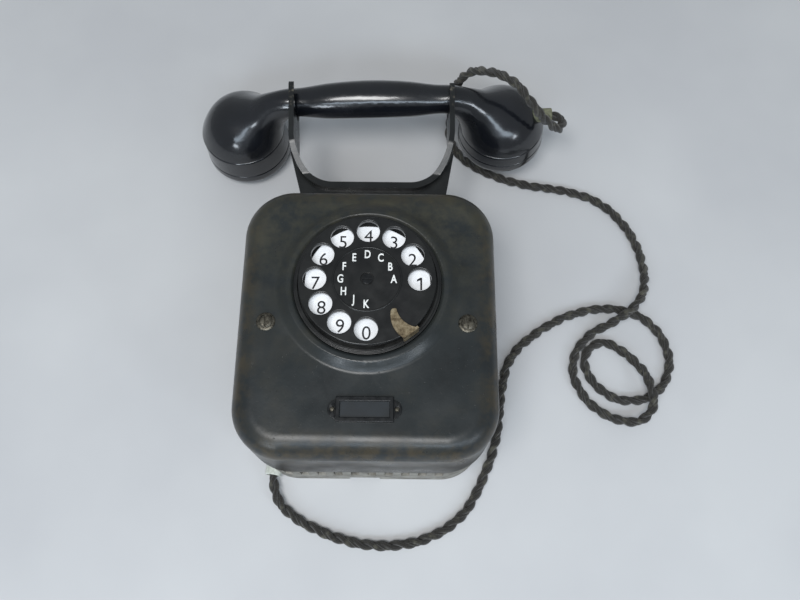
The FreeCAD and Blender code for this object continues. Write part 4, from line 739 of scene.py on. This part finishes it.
# %% Ink and filler
ink, tree, shader = finish_called("black_print", Roughness=0.5)
onto(tree, shader, Base_Color=mottled(tree, 3, (0.3, "#16171a"), (0.7, "#2a2b2e")))
wear(ink, plate_digits)

filler, tree, shader = finish_called("white_letter_fill", Roughness=0.5)
onto(tree, shader, Base_Color=mottled(tree, 2, (0.3, "#d4d6d2"), (0.6, "#f0f1ee")))
wear(filler, disc_letters)
print("print on", plate_digits.name, "and filler in", disc_letters.name)

# %% [markdown]
# ### The finger stop
# A sheet-metal claw, nickel over brass, worn to a dull tan with brown spots where fingers land. Bare
# brass would be fully metallic, but grime covers half of it, so its metallic value is about a half.

# %% Finger stop
finger_stop = softened("finger_stop", 0.25, "worn_steel")
tan, tree, shader = finish_called("worn_nickel_brass", Metallic=0.45)
rub = mottled(tree, 3.5, (0.3, "#3d2f1e"), (0.48, "#7d6f56"), (0.7, "#a79a80"), detail=5, roughness=0.7)
onto(tree, shader, Base_Color=rub, Roughness=spots(tree, 2, 0.3, 0.7, 0.35, 0.6, detail=4))
dented(tree, shader, 1.2, 0.05, detail=4)
wear(tan, finger_stop)
print("finger stop faces:", len(finger_stop.data.polygons))

# %% [markdown]
# ## The cradle
# The fork is a steel pressing under black paint, worn bright on its tips where the handset lands. The
# model holds its web and its two prongs as three pieces, because the physics needs the notch between them
# open. Their copies are joined here, and the hidden faces between them go, so that no seam shows.

# %% Join the fork
FORK_NODES = ("cradle_web", "left_prong", "right_prong")
SEAM_BAND = 0.02 * MM
fork_foot, fork_top = (corner.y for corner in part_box("left_prong"))

fork = copied(FORK_NODES[0])
prongs = [copied(name) for name in FORK_NODES[1:]]
only(fork)
for prong in prongs:
    prong.select_set(True)
bpy.ops.object.join()
weld(fork)
bpy.ops.object.mode_set(mode="EDIT")
bpy.ops.mesh.select_mode(type="FACE")
bpy.ops.mesh.select_all(action="DESELECT")
bpy.ops.object.mode_set(mode="OBJECT")
heights = [vertex.co.y - fork_foot for vertex in fork.data.vertices]
for face in fork.data.polygons:
    face.select = all(abs(heights[corner]) < SEAM_BAND for corner in face.vertices)
print("seam faces taken out:", sum(face.select for face in fork.data.polygons))
bpy.ops.object.mode_set(mode="EDIT")
bpy.ops.mesh.delete(type="FACE")
bpy.ops.object.mode_set(mode="OBJECT")
round_edges(fork, 0.4, segments=3)
cradle = [stands_for(fork, "cradle_paint", *FORK_NODES), softened("cradle_stem", 0.35, "cradle_paint")]

# %% Fork paint
TIP_WEAR_STARTS, TIP_WEAR_FULL = 22, 1

fork_paint, tree, shader = finish_called("worn_black_paint_on_steel", Specular_IOR_Level=0.6)
near_tip = along(tree, "Y", fork_top / MM - TIP_WEAR_STARTS, fork_top / MM - TIP_WEAR_FULL)
scuffs = spots(tree, 3.2, 0.56, 0.66, detail=5, roughness=0.7)
bare = add(tree, "ShaderNodeMath", {0: near_tip, 1: scuffs}, operation="MULTIPLY").outputs[0]
black = mottled(tree, 16, (0.35, "#111314"), (0.7, "#1d1f1f"), detail=4)
onto(tree, shader, Base_Color=coat(tree, black, bare, 1, "#8c8577"),
     Metallic=add(tree, "ShaderNodeMath", {0: bare, 1: 0.6}, operation="MULTIPLY").outputs[0],
     Roughness=spots(tree, 9, 0.3, 0.7, 0.24, 0.42, detail=5))
dented(tree, shader, 1.4, 0.03)
wear(fork_paint, *cradle)
print("worn for the last %d mm of the tips" % TIP_WEAR_STARTS)

# %% [markdown]
# ## Screws, washers and the label
# The screws, washers and rivets are nickelled steel gone grey, darker in the scratches. The label frame
# and the screw of the hub are blackened in oil, which leaves a thin brown-black skin on the steel. The
# card behind the frame is bare.

# %% Screws, washers, label
small_metal = [softened(name, 0.12, "worn_steel")
               for name in ("cover_screws", "cover_washers", "cradle_screws", "label_rivets")]
label_frame = softened("label_frame", 0.2, "worn_steel")
label_card = softened("label_card", 0, "label_paper")

steel, tree, shader = finish_called("greyed_nickel_steel", Metallic=0.85)
greyed = mottled(tree, 1.6, (0.35, "#2e2b25"), (0.6, "#6a665c"), detail=4, roughness=0.7)
onto(tree, shader, Base_Color=greyed, Roughness=spots(tree, 2.2, 0.3, 0.7, 0.28, 0.55, detail=4))
dented(tree, shader, 0.7, 0.03)
wear(steel, *small_metal)

blackened, tree, shader = finish_called("blackened_steel", Metallic=0.3)
onto(tree, shader, Base_Color=mottled(tree, 5, (0.35, "#0f1113"), (0.7, "#1c1e20"), detail=4),
     Roughness=spots(tree, 3, 0.3, 0.7, 0.25, 0.45, detail=4))
dented(tree, shader, 0.8, 0.02)
wear(blackened, label_frame, hub_screw)

card, tree, shader = finish_called("blue_grey_card", Roughness=0.45)
onto(tree, shader, Base_Color=mottled(tree, 8, (0.3, "#10161a"), (0.7, "#1a2228"), detail=4))
wear(card, label_card)
print("small metal groups:", len(small_metal))

# %% [markdown]
# ## Rubber
# The gland in the tray and the bush in the handset are old rubber sleeves, pale and chalky, with fine
# cracks. Two sleeves of one kind need one recipe with two pairs of colours, so a loop makes both.

# %% Gland and bush
for node, chalky, name, dark, light in (("cord_gland", 0.3, "pale_rubber", "#a9ada3", "#d6dad2"),
                                        ("cord_bush", 0.35, "khaki_rubber", "#4d4f3f", "#85866e")):
    rubber, tree, shader = finish_called(name, Roughness=0.8)
    onto(tree, shader, Base_Color=mottled(tree, 4, (chalky, dark), (0.6, light), detail=5, roughness=0.65))
    dented(tree, shader, 1.1, 0.12, detail=4, roughness=0.7)
    wear(rubber, softened(node, 0.5, "gland_rubber"))
    print(name, "on", node)

# %% [markdown]
# ## Inside the case
# The works show through the slots and when the telephone is opened: zinc-plated steel, brass gears,
# copper windings under varnished paper, and moulded contact blocks. They lie in shadow, so the model's
# own pieces take the finishes and need no softened copies.

# %% Inner metals
def dress(material, *names):
    for name in names:
        data = nodes[name].data
        data.materials.clear()
        data.materials.append(material)
    print(material.name, "on", len(names), "pieces")


zinc, tree, shader = finish_called("zinc_plated_steel", Metallic=0.9, Roughness=0.38)
onto(tree, shader, Base_Color=mottled(tree, 5, (0.3, "#8b8d8e"), (0.7, "#b3b5b4"), detail=4))
dented(tree, shader, 1, 0.02)
dress(zinc, "cover_posts", "ringer_frame", "gong_posts", "capacitor_strap", "hook_bracket", "coil_core",
      "gong_screws", "terminal_screws", "gear_plate_screws", "hook_spring", "mainspring", "ringer_magnet",
      "dial_shaft")

brass, tree, shader = finish_called("machined_brass", Metallic=0.95, Roughness=0.3)
onto(tree, shader, Base_Color=mottled(tree, 6, (0.3, "#a5813f"), (0.7, "#c9a860"), detail=4))
dented(tree, shader, 0.8, 0.01, detail=2)
dress(brass, "dial_gear", "gear_plate", "impulse_shaft", "impulse_gear", "governor_shaft",
      "governor_weights", "governor_cup", "clapper_arm", "clapper_armature")

bell, tree, shader = finish_called("nickel_plated_bell_steel", Metallic=1.0, Roughness=0.22)
onto(tree, shader, Base_Color=mottled(tree, 15, (0.3, "#a9a69d"), (0.7, "#c4c2ba"), detail=4))
dress(bell, "gong_left", "gong_right")

can, tree, shader = finish_called("drawn_aluminium_can", Metallic=0.9, Roughness=0.42)
onto(tree, shader, Base_Color=mottled(tree, 9, (0.3, "#8f9192"), (0.7, "#b8babb"), stretch=(1, 1, 0.2)))
dress(can, "capacitor", "receiver_capsule", "transmitter_capsule")

# %% Windings and contact blocks
winding, tree, shader = finish_called("varnished_copper_winding", Roughness=0.45)
turns = dict(detail=2, stretch=(0.05, 1, 0.05))
onto(tree, shader, Base_Color=mottled(tree, 0.8, (0.35, "#4a2413"), (0.65, "#8a4a26"), **turns))
dented(tree, shader, 0.8, 0.1, **turns)
dress(winding, "ringer_coils", "coil_winding")

moulded, tree, shader = finish_called("moulded_phenolic_block", Roughness=0.4)
onto(tree, shader, Base_Color=mottled(tree, 4, (0.35, "#2a1a12"), (0.7, "#43291b"), detail=4))
dented(tree, shader, 1, 0.03)
dress(moulded, "impulse_contacts", "hook_contacts", "terminal_block")
